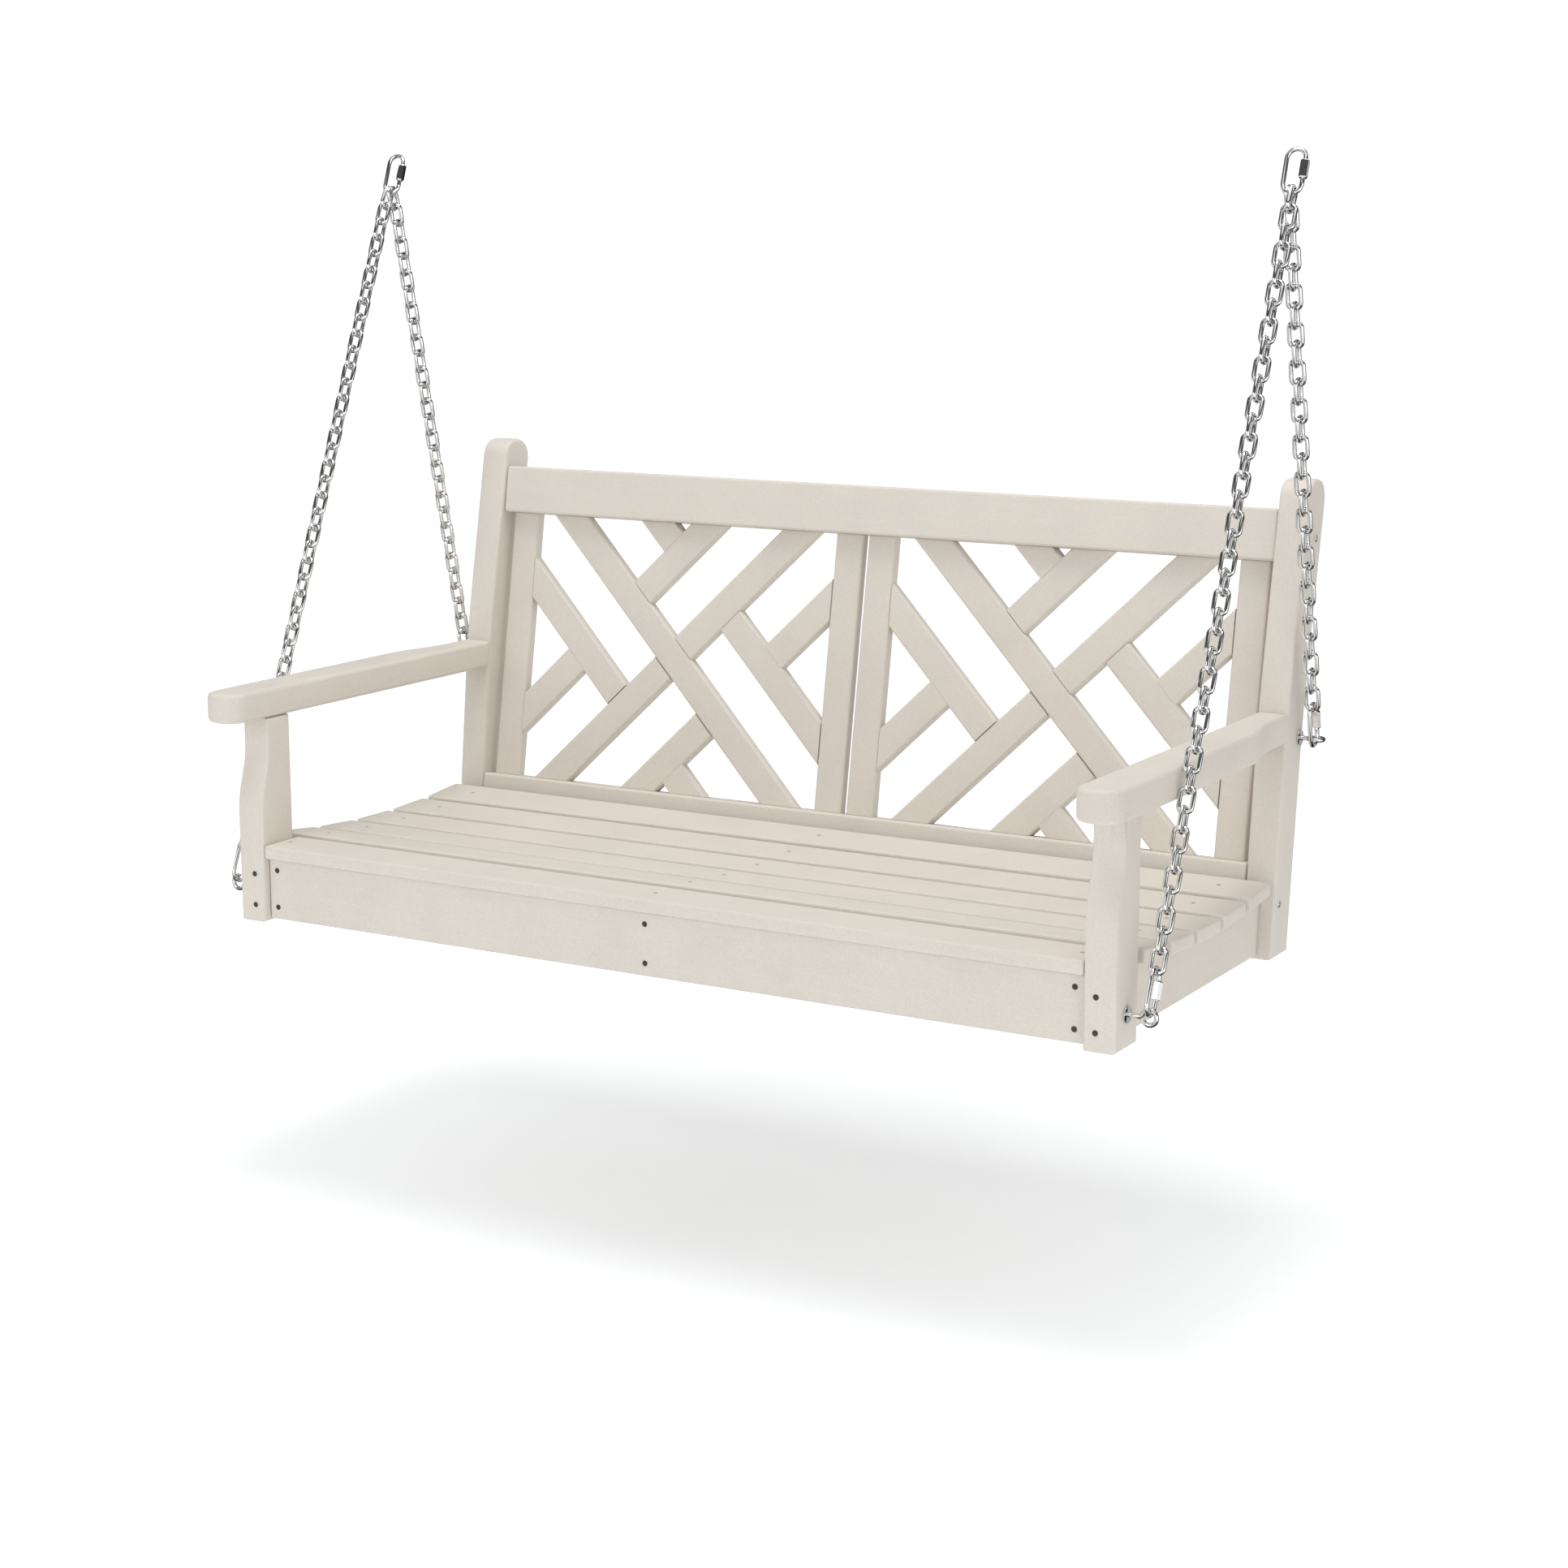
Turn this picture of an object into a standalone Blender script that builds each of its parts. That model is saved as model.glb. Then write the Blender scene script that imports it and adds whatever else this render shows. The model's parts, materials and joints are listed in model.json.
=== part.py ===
"""Porch swing seat in recycled-plastic lumber, hung from two pairs of welded chains.

Metres, +Z up. The seat faces -Y. Pieces are laid out from the front posts' feet
(y = 0 at their front faces, z = 0 under them), and at the end everything is moved so
that the origin lies midway between the two porch hooks that hold the top quick links.
"""

import math

import bmesh
import bpy
from mathutils import Matrix, Vector

MM = 0.001
GAP = 0.3 * MM  # between pieces that touch

# --- seat frame ---
CLEAR_WIDTH = 1215 * MM  # between the posts
POST_THICK = 42 * MM
FRONT_POST_DEPTH = 64 * MM
FRONT_POST_SETBACK = 17 * MM  # of the front edge, under the arm
SETBACK_DROP = 41 * MM  # below the arm, where the set-back edge starts to swell forward
SETBACK_EASE = 82 * MM
ARM_UNDERSIDE = 279 * MM
ARM_THICK = 40 * MM
ARM_OVERHANG = 50 * MM  # in front of the post
ARM_WIDTH = 59.5 * MM
ARM_CORNER = 27 * MM
ARM_NARROW_EASE = 116 * MM
ARM_NARROW_END = 20 * MM  # of the narrow end, in front of the rear post's foot
REAR_POST_DEPTH = 60 * MM
HEAD_ABOVE_RAIL = 38.2 * MM  # of the rear posts, above the top rail
LOWER_LEAN = math.radians(6.0)
UPPER_LEAN = math.radians(11.0)
KNEE_ABOVE_ARM = 46 * MM  # from the arm's underside to the rear post's bend
KNEE_EASE = 60 * MM  # half the bend's height
TOP_RADIUS = 26 * MM
EDGE_ROUND = 4 * MM
ARM_ROUND = 6 * MM

# --- seat ---
SLAT_COUNT = 6
SLAT_WIDTH = 71.5 * MM
SLAT_GAP = 12.3 * MM
SLAT_THICK = 19 * MM
SLAT_SETBACK = 1.5 * MM  # of the slats' ends from the posts' outer faces
SLAT_POST_GAP = 3.5 * MM  # between the last slat and the rear posts' feet, in depth
FRONT_SLAT_TOP = 107 * MM  # the front slat lies flat, and the rest follow a dish
DISH_RADIUS = 1560 * MM
DISH_LOW = 94 * MM  # top of the slats at the lowest point
DISH_LOW_AT = 300 * MM
APRON_THICK = 22 * MM
APRON_SETBACK = 10 * MM
APRON_FOOT = 4 * MM
REAR_APRON_SETBACK = 54 * MM  # in front of the rear posts' feet

# --- back ---
BACK_LEAN = math.radians(9.5)
RAIL_DEPTH = 42 * MM
RAIL_HEIGHT = 68 * MM
OPENING_FOOT = 123 * MM
OPENING_TOP = 508.7 * MM
RAIL_PROUD = 0.9 * MM  # of the rear posts' front edge at the opening's foot
PANEL_SETBACK = 16 * MM  # of the lattice behind the rails' faces
PANEL_THICK = 18 * MM
STILE_WIDTH = 43.5 * MM
STILE_POST_GAP = 9.5 * MM
CENTRE_GAP = 8 * MM
BAR_WIDTH = 44 * MM
BAR_SPACING = 0.39  # of the opening's height, along the rails

# --- hanging gear ---
LINK_PITCH = 23.85 * MM
LINK_INNER = 11 * MM
LINK_WIRE = 4.4 * MM  # side of the square that stands for the 5 mm round wire
FRONT_LINKS = 40
REAR_LINKS = 28
CHAIN_SPACING = 5.4 * MM  # sideways, between a side's two chains
CHAIN_ARM_CLEARANCE = 1.5 * MM
TOP_LINK_SPLAY = 0.14  # slope by which a side's two top links push each other apart
QUICK_WIRE = 6 * MM
QUICK_LENGTH = 50 * MM  # inside
QUICK_WIDTH = 18 * MM  # inside
QUICK_LEAN = math.radians(20)  # of the top quick links
SLEEVE_LENGTH = 22.5 * MM
SLEEVE_FLATS = 10 * MM
GATE_OPENING = 6.5 * MM
EYE_WIRE = 6 * MM
EYE_RADIUS = 9 * MM  # to the wire's middle
EYE_SHANK = 34 * MM  # inside the post
WASHER_RADIUS = 10.7 * MM
WASHER_THICK = 2 * MM
FRONT_EYE_HEIGHT = 42 * MM
FRONT_EYE_AT = 30 * MM  # behind the post's front face
REAR_EYE_ABOVE_ARM = 2.5 * MM  # above the arm's underside
REAR_EYE_AT = 13 * MM  # in front of the post's back

# --- worked out from the sizes above ---
POST_IN = CLEAR_WIDTH / 2
POST_OUT = POST_IN + POST_THICK
SEAT_DEPTH = SLAT_COUNT * (SLAT_WIDTH + SLAT_GAP) - SLAT_GAP
REAR_POST_FOOT = SEAT_DEPTH + SLAT_POST_GAP  # front edge of the foot
REAR_POST_TOP = OPENING_TOP + RAIL_HEIGHT * math.cos(BACK_LEAN) + HEAD_ABOVE_RAIL
KNEE_HEIGHT = ARM_UNDERSIDE + KNEE_ABOVE_ARM
REAR_EYE_HEIGHT = ARM_UNDERSIDE + REAR_EYE_ABOVE_ARM
REAR_APRON_AT = REAR_POST_FOOT - REAR_APRON_SETBACK
OPENING_HEIGHT = (OPENING_TOP - OPENING_FOOT) / math.cos(BACK_LEAN)
ARM_OUT = POST_IN + ARM_WIDTH
FRONT_CHAIN_X = ARM_OUT + CHAIN_ARM_CLEARANCE + LINK_INNER / 2 + LINK_WIRE
REAR_CHAIN_X = FRONT_CHAIN_X - CHAIN_SPACING

COLOURS = {
    "plastic_lumber": ((0.66, 0.61, 0.54), 0.55, 0.0),
    "zinc_chain": ((0.72, 0.72, 0.72), 0.22, 1.0),
    "steel_fitting": ((0.78, 0.78, 0.79), 0.16, 1.0),
}


# ---------------------------------------------------------------- scene helpers


def clear_scene():
    for obj in list(bpy.data.objects):
        bpy.data.objects.remove(obj)


def make_material(name):
    colour, roughness, metallic = COLOURS[name]
    material = bpy.data.materials.new(name)
    material.use_nodes = True
    shader = material.node_tree.nodes["Principled BSDF"]
    shader.inputs["Base Color"].default_value = (*colour, 1)
    shader.inputs["Roughness"].default_value = roughness
    shader.inputs["Metallic"].default_value = metallic
    return material


def material(name):
    return bpy.data.materials.get(name) or make_material(name)


def empty(name, place):
    marker = bpy.data.objects.new(name, None)
    marker.location = place
    bpy.context.scene.collection.objects.link(marker)
    return marker


def add(name, bm, finish, place=(0, 0, 0), lean=0.0, smooth_angle=35):
    """An object from a bmesh, with its normals out and its round parts shaded smooth."""
    bmesh.ops.recalc_face_normals(bm, faces=bm.faces)
    if bm.calc_volume(signed=True) < 0:
        bmesh.ops.reverse_faces(bm, faces=bm.faces)
    mesh = bpy.data.meshes.new(name)
    bm.to_mesh(mesh)
    bm.free()
    mesh.materials.append(material(finish))
    mesh.shade_smooth()
    mesh.set_sharp_from_angle(angle=math.radians(smooth_angle))
    obj = bpy.data.objects.new(name, mesh)
    bpy.context.scene.collection.objects.link(obj)
    obj.location = place
    obj.rotation_euler.x = lean
    return obj


def mirrored(obj, name):
    """The other side's piece: the same shape turned left for right about x = 0."""
    bm = bmesh.new()
    bm.from_mesh(obj.data)
    bmesh.ops.transform(bm, matrix=Matrix.Scale(-1, 4, (1, 0, 0)), verts=bm.verts)
    bmesh.ops.reverse_faces(bm, faces=bm.faces)
    place = Vector(obj.location)
    place.x = -place.x
    return add(name, bm, obj.data.materials[0].name, place, obj.rotation_euler.x)


def pair(obj):
    """Names a right-hand piece and adds its mirror image on the left."""
    stem = obj.name
    obj.name = stem + "_right"
    return [obj, mirrored(obj, stem + "_left")]


def baked(obj):
    """Applies the object's modifiers to its mesh."""
    graph = bpy.context.evaluated_depsgraph_get()
    graph.update()
    mesh = bpy.data.meshes.new_from_object(obj.evaluated_get(graph))
    obj.modifiers.clear()
    obj.data = mesh
    mesh.shade_smooth()
    mesh.set_sharp_from_angle(angle=math.radians(35))
    return obj


def combine(obj, other, operation):
    """Joins other to obj, or cuts it from obj, and removes other."""
    cut = obj.modifiers.new(operation.title(), "BOOLEAN")
    cut.operation = operation
    cut.object = other
    cut.solver = "EXACT"
    baked(obj)
    bpy.data.objects.remove(other)
    return obj


# ---------------------------------------------------------------- shape helpers


def round_edges(bm, edges, radius, segments=2):
    bmesh.ops.bevel(
        bm,
        geom=list(edges),
        offset=radius,
        offset_type="OFFSET",
        affect="EDGES",
        segments=segments,
        profile=0.5,
        material=-1,
        clamp_overlap=True,
    )


def board(size, radius, segments=2, ends_too=True):
    """A bmesh board centred on the origin, its edges rounded over."""
    bm = bmesh.new()
    bmesh.ops.create_cube(bm, size=1)
    bmesh.ops.scale(bm, vec=size, verts=bm.verts)
    edges = bm.edges
    if not ends_too:
        edges = [e for e in bm.edges if abs(e.verts[0].co.x - e.verts[1].co.x) > size[0] / 2]
    round_edges(bm, edges, radius, segments)
    return bm


def sawn(outline, axis, low, high, radius, segments=2):
    """A board sawn to a closed outline of 2-D points, with its two rims rounded over.

    axis is the board's thickness direction: "x" takes (y, z) points, "z" takes (x, y).
    """
    bm = bmesh.new()
    if axis == "x":
        verts = [bm.verts.new((low, a, b)) for a, b in outline]
        along = Vector((high - low, 0, 0))
    else:
        verts = [bm.verts.new((a, b, low)) for a, b in outline]
        along = Vector((0, 0, high - low))
    face = bm.faces.new(verts)
    out = bmesh.ops.extrude_face_region(bm, geom=[face])
    moved = [v for v in out["geom"] if isinstance(v, bmesh.types.BMVert)]
    bmesh.ops.translate(bm, vec=along, verts=moved)
    bmesh.ops.recalc_face_normals(bm, faces=bm.faces)
    direction = along.normalized()
    rims = [e for e in bm.edges if abs((e.verts[0].co - e.verts[1].co).dot(direction)) < 1e-7]
    round_edges(bm, rims, radius, segments)
    return bm


def arc(centre, radius, start, stop, steps):
    """Points round a circle, angles in degrees."""
    turn = [math.radians(start + (stop - start) * i / steps) for i in range(steps + 1)]
    return [(centre[0] + radius * math.cos(a), centre[1] + radius * math.sin(a)) for a in turn]


def s_curve(low, high, value_low, value_high, steps=5):
    """(position, value) pairs easing from one value to the other."""
    pairs = []
    for i in range(steps + 1):
        t = i / steps
        ease = t * t * (3 - 2 * t)
        pairs.append((low + (high - low) * t, value_low + (value_high - value_low) * ease))
    return pairs


def swept(path, radius, sides):
    """A round wire along an open path of points that lie in one plane."""
    path = [Vector(p) for p in path]
    flat = (path[1] - path[0]).cross(path[len(path) // 2] - path[0]).normalized()
    bm = bmesh.new()
    rings = []
    for i, point in enumerate(path):
        before = (point - path[i - 1]).normalized() if i else None
        after = (path[i + 1] - point).normalized() if i + 1 < len(path) else None
        run = ((before or after) + (after or before)).normalized()
        stretch = 1 / max(0.5, run.dot(after or before))
        side = flat.cross(run).normalized()
        ring = []
        for k in range(sides):
            angle = 2 * math.pi * (k + 0.5) / sides
            out = side * (math.cos(angle) * radius * stretch) + flat * (math.sin(angle) * radius)
            ring.append(bm.verts.new(point + out))
        rings.append(ring)
    for one, two in zip(rings, rings[1:]):
        for k in range(sides):
            j = (k + 1) % sides
            bm.faces.new((one[k], one[j], two[j], two[k]))
    bm.faces.new(rings[0])
    bm.faces.new(reversed(rings[-1]))
    return bm


# ---------------------------------------------------------------- posts and arms


def rear_post_front(z):
    """y of the rear post's front edge at a height: two straight runs and an even bend."""
    turn = math.tan(UPPER_LEAN) - math.tan(LOWER_LEAN)
    into_bend = min(max(z - KNEE_HEIGHT + KNEE_EASE, 0.0), 2 * KNEE_EASE)
    bent = turn * into_bend**2 / (4 * KNEE_EASE)
    past_bend = max(z - KNEE_HEIGHT - KNEE_EASE, 0.0)
    return REAR_POST_FOOT + z * math.tan(LOWER_LEAN) + bent + turn * past_bend


def rear_eye_y():
    return rear_post_front(REAR_EYE_HEIGHT) + REAR_POST_DEPTH - REAR_EYE_AT


def rear_post_outline():
    """Foot, knee and rounded head of the leaning rear post, as (y, z)."""
    bend = [KNEE_HEIGHT + KNEE_EASE * step for step in (-1, -0.5, 0, 0.5, 1)]
    front = [(rear_post_front(z), z) for z in [0] + bend]
    back = [(y + REAR_POST_DEPTH, z) for y, z in front]
    lean = math.degrees(UPPER_LEAN)
    head = REAR_POST_TOP - TOP_RADIUS
    centre = head - TOP_RADIUS * math.tan(UPPER_LEAN) * 0.2
    first = (rear_post_front(head) + TOP_RADIUS, centre)
    last = (rear_post_front(head) + REAR_POST_DEPTH - TOP_RADIUS, centre)
    crown = arc(first, TOP_RADIUS, 180 - lean, 90 - lean / 2, 4)
    crown += arc(last, TOP_RADIUS, 90 - lean / 2, -lean, 4)
    return front + crown + back[::-1]


def eye_bore(x_out, y, z):
    """A cutter for the blind hole that an eye's shank screws into."""
    bm = bmesh.new()
    radius = EYE_WIRE / 2 + GAP
    depth = EYE_SHANK + 3 * MM
    bmesh.ops.create_cone(
        bm, cap_ends=True, segments=10, radius1=radius, radius2=radius, depth=2 * depth
    )
    bmesh.ops.rotate(bm, matrix=Matrix.Rotation(math.pi / 2, 3, "Y"), verts=bm.verts)
    bore = add("eye_bore", bm, "steel_fitting", (x_out, y, z))
    bore.hide_render = True
    bore.display_type = "WIRE"
    return bore


def make_rear_posts():
    bm = sawn(rear_post_outline(), "x", POST_IN, POST_OUT, EDGE_ROUND)
    post = add("rear_post", bm, "plastic_lumber")
    bore = eye_bore(POST_OUT, rear_eye_y(), REAR_EYE_HEIGHT)
    return pair(combine(post, bore, "DIFFERENCE"))


def make_front_posts():
    """The front edge is set back under the arm and swells forward lower down."""
    top = ARM_UNDERSIDE - GAP
    start = ARM_UNDERSIDE - SETBACK_DROP
    swell = s_curve(start, start - SETBACK_EASE, FRONT_POST_SETBACK, 0.0, 6)
    front = [(y, z) for z, y in swell]
    outline = [(FRONT_POST_SETBACK, top)] + front + [(0, 0)]
    outline += [(FRONT_POST_DEPTH, 0), (FRONT_POST_DEPTH, top)]
    bm = sawn(outline, "x", POST_IN, POST_OUT, EDGE_ROUND)
    post = add("front_post", bm, "plastic_lumber")
    bore = eye_bore(POST_OUT, FRONT_EYE_AT, FRONT_EYE_HEIGHT)
    return pair(combine(post, bore, "DIFFERENCE"))


def make_arms():
    """Round-cornered arms, straight inside, whose outer edge eases in to the rear post."""
    low = ARM_UNDERSIDE
    high = ARM_UNDERSIDE + ARM_THICK
    end = rear_post_front(low) - GAP
    front = -ARM_OVERHANG
    r = min(ARM_CORNER, ARM_WIDTH / 2 - 1 * MM)
    narrow = REAR_POST_FOOT - ARM_NARROW_END
    outline = arc((POST_IN + r, front + r), r, 180, 270, 5)
    outline += arc((ARM_OUT - r, front + r), r, 270, 360, 5)
    edge = s_curve(narrow - ARM_NARROW_EASE, narrow, ARM_OUT, POST_OUT, 6)
    outline += [(x, y) for y, x in edge]
    outline += [(POST_OUT, end), (POST_IN, end)]
    bm = sawn(outline, "z", low, high, ARM_ROUND)
    for vert in bm.verts:
        if vert.co.y > end - ARM_ROUND * 1.01:
            inset = end - vert.co.y
            vert.co.y = rear_post_front(vert.co.z) - GAP - inset
    return pair(add("arm", bm, "plastic_lumber"))


# ---------------------------------------------------------------- seat


def dish_top(y):
    """Height of the dished seat's surface at a depth."""
    return DISH_LOW + (y - DISH_LOW_AT) ** 2 / (2 * DISH_RADIUS)


def slat_lie(index):
    """Where a slat lies: the height of its top at its middle, and its tilt."""
    if index == 0:
        return FRONT_SLAT_TOP, 0.0
    y = slat_middle(index)
    return dish_top(y), math.atan((y - DISH_LOW_AT) / DISH_RADIUS)


def slat_middle(index):
    """y of a slat's middle. Slat 0 is the front one, flush with the posts' faces."""
    return SLAT_WIDTH / 2 + index * (SLAT_WIDTH + SLAT_GAP)


def slat_underside():
    """(y, z) along the slats' undersides, two points a slat."""
    points = []
    for index in range(SLAT_COUNT):
        y = slat_middle(index)
        top, tilt = slat_lie(index)
        for side in (-1, 1):
            along = side * (SLAT_WIDTH / 2)
            down = SLAT_THICK + GAP
            points.append(
                (
                    y + along * math.cos(tilt) + down * math.sin(tilt),
                    top + along * math.sin(tilt) - down * math.cos(tilt),
                )
            )
    return points


def underside_height(y):
    points = slat_underside()
    for (y0, z0), (y1, z1) in zip(points, points[1:]):
        if y <= y1:
            return z0 + (z1 - z0) * (y - y0) / (y1 - y0)
    return points[-1][1]


def make_slats():
    slats = []
    for index in range(SLAT_COUNT):
        y = slat_middle(index)
        top, tilt = slat_lie(index)
        reach = POST_IN - GAP if index == 0 else POST_OUT - SLAT_SETBACK
        bm = board((2 * reach, SLAT_WIDTH, SLAT_THICK), EDGE_ROUND)
        down = Vector((0, math.sin(tilt), -math.cos(tilt))) * (SLAT_THICK / 2)
        place = Vector((0, y, top)) + down
        name = f"seat_slat_{index + 1}"
        slats.append(add(name, bm, "plastic_lumber", place, tilt))
    return slats


def bearer_outline(front, rear_low, rear_high):
    """A board whose top edge follows the undersides of the slats, as (y, z)."""
    top = [p for p in slat_underside() if front + 2 * MM < p[0] < rear_high - 2 * MM]
    first = (front, underside_height(front))
    last = (rear_high, underside_height(rear_high))
    return [(front, APRON_FOOT), first] + top + [last, (rear_low, APRON_FOOT)]


def make_side_aprons():
    front = FRONT_POST_DEPTH + GAP
    rear_low = rear_post_front(APRON_FOOT) - GAP
    rear_high = rear_post_front(slat_underside()[-1][1]) - GAP
    outline = bearer_outline(front, rear_low, rear_high)
    bm = sawn(outline, "x", POST_IN, POST_IN + APRON_THICK, 2 * MM, 1)
    return pair(add("side_apron", bm, "plastic_lumber"))


def make_cross_aprons():
    """The front apron between the posts, and the rear apron between the side aprons."""
    aprons = []
    reach = POST_IN - GAP
    for name, front in (("front_apron", APRON_SETBACK), ("rear_apron", REAR_APRON_AT)):
        ends = (front, front + APRON_THICK)
        height = min(underside_height(y) for y in ends) - APRON_FOOT
        bm = board((2 * reach, APRON_THICK, height), 2 * MM, 1)
        place = (0, front + APRON_THICK / 2, APRON_FOOT + height / 2)
        aprons.append(add(name, bm, "plastic_lumber", place))
    return aprons


def make_centre_support():
    front = APRON_SETBACK + APRON_THICK + GAP
    rear = REAR_APRON_AT - GAP
    outline = bearer_outline(front, rear, rear)
    bm = sawn(outline, "x", -APRON_THICK / 2, APRON_THICK / 2, 2 * MM, 1)
    return [add("centre_support", bm, "plastic_lumber")]


# ---------------------------------------------------------------- back


def back_place(up, behind=0.0):
    """A point of the leaning back: up it from mid-opening, behind the rails' faces."""
    z = (OPENING_FOOT + OPENING_TOP) / 2
    foot = rear_post_front(OPENING_FOOT) - RAIL_PROUD
    y = foot + (z - OPENING_FOOT) * math.tan(BACK_LEAN)
    up_it = Vector((0, math.sin(BACK_LEAN), math.cos(BACK_LEAN)))
    behind_it = Vector((0, math.cos(BACK_LEAN), -math.sin(BACK_LEAN)))
    return Vector((0, y, z)) + up_it * up + behind_it * behind


def make_rails():
    rails = []
    reach = POST_IN - GAP
    half = OPENING_HEIGHT / 2
    middle = half + RAIL_HEIGHT / 2
    for name, up in (("top_rail", middle), ("bottom_rail", -middle)):
        bm = board((2 * reach, RAIL_DEPTH, RAIL_HEIGHT), EDGE_ROUND)
        place = back_place(up, RAIL_DEPTH / 2)
        rails.append(add(name, bm, "plastic_lumber", place, -BACK_LEAN))
    return rails


def panel_half_width():
    """Half the clear width between a panel's stiles."""
    panel = POST_IN - STILE_POST_GAP - CENTRE_GAP / 2
    return panel / 2 - STILE_WIDTH


def panel_middle():
    return CENTRE_GAP / 2 + STILE_WIDTH + panel_half_width()


def panel_place(x):
    place = back_place(0, PANEL_SETBACK + PANEL_THICK / 2)
    place.x = x
    return place


def make_stiles():
    stiles = []
    offset = panel_half_width() + STILE_WIDTH / 2
    for side, middle in (("left", -panel_middle()), ("right", panel_middle())):
        outward = math.copysign(offset, middle)
        for where, shift in (("outer", outward), ("inner", -outward)):
            bm = board((OPENING_HEIGHT - 2 * GAP, PANEL_THICK, STILE_WIDTH), EDGE_ROUND, 2, False)
            bmesh.ops.rotate(bm, matrix=Matrix.Rotation(math.pi / 2, 3, "Y"), verts=bm.verts)
            place = panel_place(middle + shift)
            stiles.append(add(f"{where}_stile_{side}", bm, "plastic_lumber", place, -BACK_LEAN))
    return stiles


def bar(rise, offset, cuts):
    """A lattice bar at 45 degrees, cut to length.

    rise is +1 for a bar that climbs to the right and -1 for one that falls. offset is the
    place along the panel's middle line where the bar's own middle line crosses it. Each cut
    is a line (normal x, normal z, distance) beyond which the bar is sawn away.
    """
    length = 4 * (OPENING_HEIGHT + panel_half_width())
    bm = board((length, PANEL_THICK, BAR_WIDTH), EDGE_ROUND, 2, False)
    turn = Matrix.Rotation(-rise * math.pi / 4, 4, "Y")
    bmesh.ops.transform(bm, matrix=Matrix.Translation((offset, 0, 0)) @ turn, verts=bm.verts)
    for x, z, distance in cuts:
        normal = Vector((x, 0, z)).normalized()
        geom = bm.verts[:] + bm.edges[:] + bm.faces[:]
        cut = bmesh.ops.bisect_plane(
            bm, geom=geom, dist=1e-7, plane_co=normal * distance, plane_no=normal, clear_outer=True
        )
        rim = [e for e in cut["geom_cut"] if isinstance(e, bmesh.types.BMEdge)]
        if rim:
            bmesh.ops.edgeloop_fill(bm, edges=rim)
    return bm


def butt(rise, offset, side, gap=GAP):
    """The cut that leaves what lies on one side of a bar: +1 keeps the right, -1 the left."""
    middle = offset / math.sqrt(2)
    edge = side * middle + BAR_WIDTH / 2 + gap
    return (-side * 1.0, side * float(rise), -edge)


def lattice_bars():
    """The eleven bars of a panel as name: list of (rise, offset, cuts), fused in T pairs.

    The main diagonal falls across the panel. The others climb or fall to it in steps of
    one spacing, each with a square end on the bar it meets and the other end on the frame.
    """
    step = BAR_SPACING * OPENING_HEIGHT
    wide = panel_half_width() - GAP
    tall = OPENING_HEIGHT / 2 - GAP
    frame = [(1, 0, wide), (-1, 0, wide), (0, 1, tall), (0, -1, tall)]
    into = -2 * MM  # how far a fused short bar runs into its neighbour
    return {
        "main_diagonal": [(-1, 0, frame)],
        "upper_diagonal": [(1, 0, frame + [butt(-1, 0, 1)])],
        "lower_diagonal": [(1, 0, frame + [butt(-1, 0, -1)])],
        "upper_tee": [
            (1, -step, frame + [butt(-1, 0, 1)]),
            (-1, step, frame + [butt(1, -step, -1, into)]),
        ],
        "lower_tee": [
            (1, step, frame + [butt(-1, 0, -1)]),
            (-1, -step, frame + [butt(1, step, 1, into)]),
        ],
        "side_tee_a": [
            (-1, step, frame + [butt(1, 0, 1)]),
            (1, step, frame + [butt(-1, step, 1, into)]),
        ],
        "side_tee_b": [
            (-1, -step, frame + [butt(1, 0, -1)]),
            (1, -step, frame + [butt(-1, -step, -1, into)]),
        ],
    }


def make_lattice():
    pieces = []
    for side, middle in (("left", -panel_middle()), ("right", panel_middle())):
        place = panel_place(middle)
        for stem, bars in lattice_bars().items():
            solids = [
                add(f"{stem}_{side}", bar(*spec), "plastic_lumber", place, -BACK_LEAN)
                for spec in bars
            ]
            if len(solids) > 1:
                combine(solids[0], solids[1], "UNION")
            pieces.append(solids[0])
    return pieces


# ---------------------------------------------------------------- hanging gear


def eye_wire_places():
    """Where each eye holds its quick link: the middle of the wire, as (y, z)."""
    front = Vector((FRONT_EYE_AT, FRONT_EYE_HEIGHT + EYE_RADIUS))
    rear = Vector((rear_eye_y() - EYE_RADIUS, REAR_EYE_HEIGHT))
    return front, rear


def bow(x):
    """How far a quick link's round end has risen beside its middle."""
    radius = QUICK_WIDTH / 2
    return radius - math.sqrt(radius**2 - x**2)


def chain_start():
    """From an eye's wire to the inner tip of the lowest link, through the quick link."""
    return QUICK_LENGTH - EYE_WIRE / 2 - bow(LINK_WIRE / 2) - 2 * GAP


def hanging_length(links):
    """From an eye's wire to the middle of the top quick link's lower end."""
    top = QUICK_WIRE / 2 + bow((CHAIN_SPACING + LINK_WIRE) / 2) + GAP
    return chain_start() + links * LINK_PITCH - top


def splay_at_pivot(links):
    """How far the top link's splay puts the swing axis to one side of the chain's line."""
    splayed_from = chain_start() + (links - 1) * LINK_PITCH
    return TOP_LINK_SPLAY * (hanging_length(links) - splayed_from)


def pivot_place():
    """The taut chains meet where two circles cross: the middle of the top link's wire."""
    front, rear = eye_wire_places()
    base = rear - front
    span = base.length
    reaches = [math.hypot(hanging_length(n), splay_at_pivot(n)) for n in (FRONT_LINKS, REAR_LINKS)]
    along = (span**2 + reaches[0] ** 2 - reaches[1] ** 2) / (2 * span)
    height = math.sqrt(reaches[0] ** 2 - along**2)
    unit = base / span
    return front + unit * along + Vector((-unit.y, unit.x)) * height


def chain_lean(start, links, sign):
    """A chain's turn about X. sign is the way its top link is splayed."""
    line = pivot_place() - start
    splay = math.atan2(sign * splay_at_pivot(links), hanging_length(links))
    return splay - math.atan2(line.x, line.y)


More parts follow.
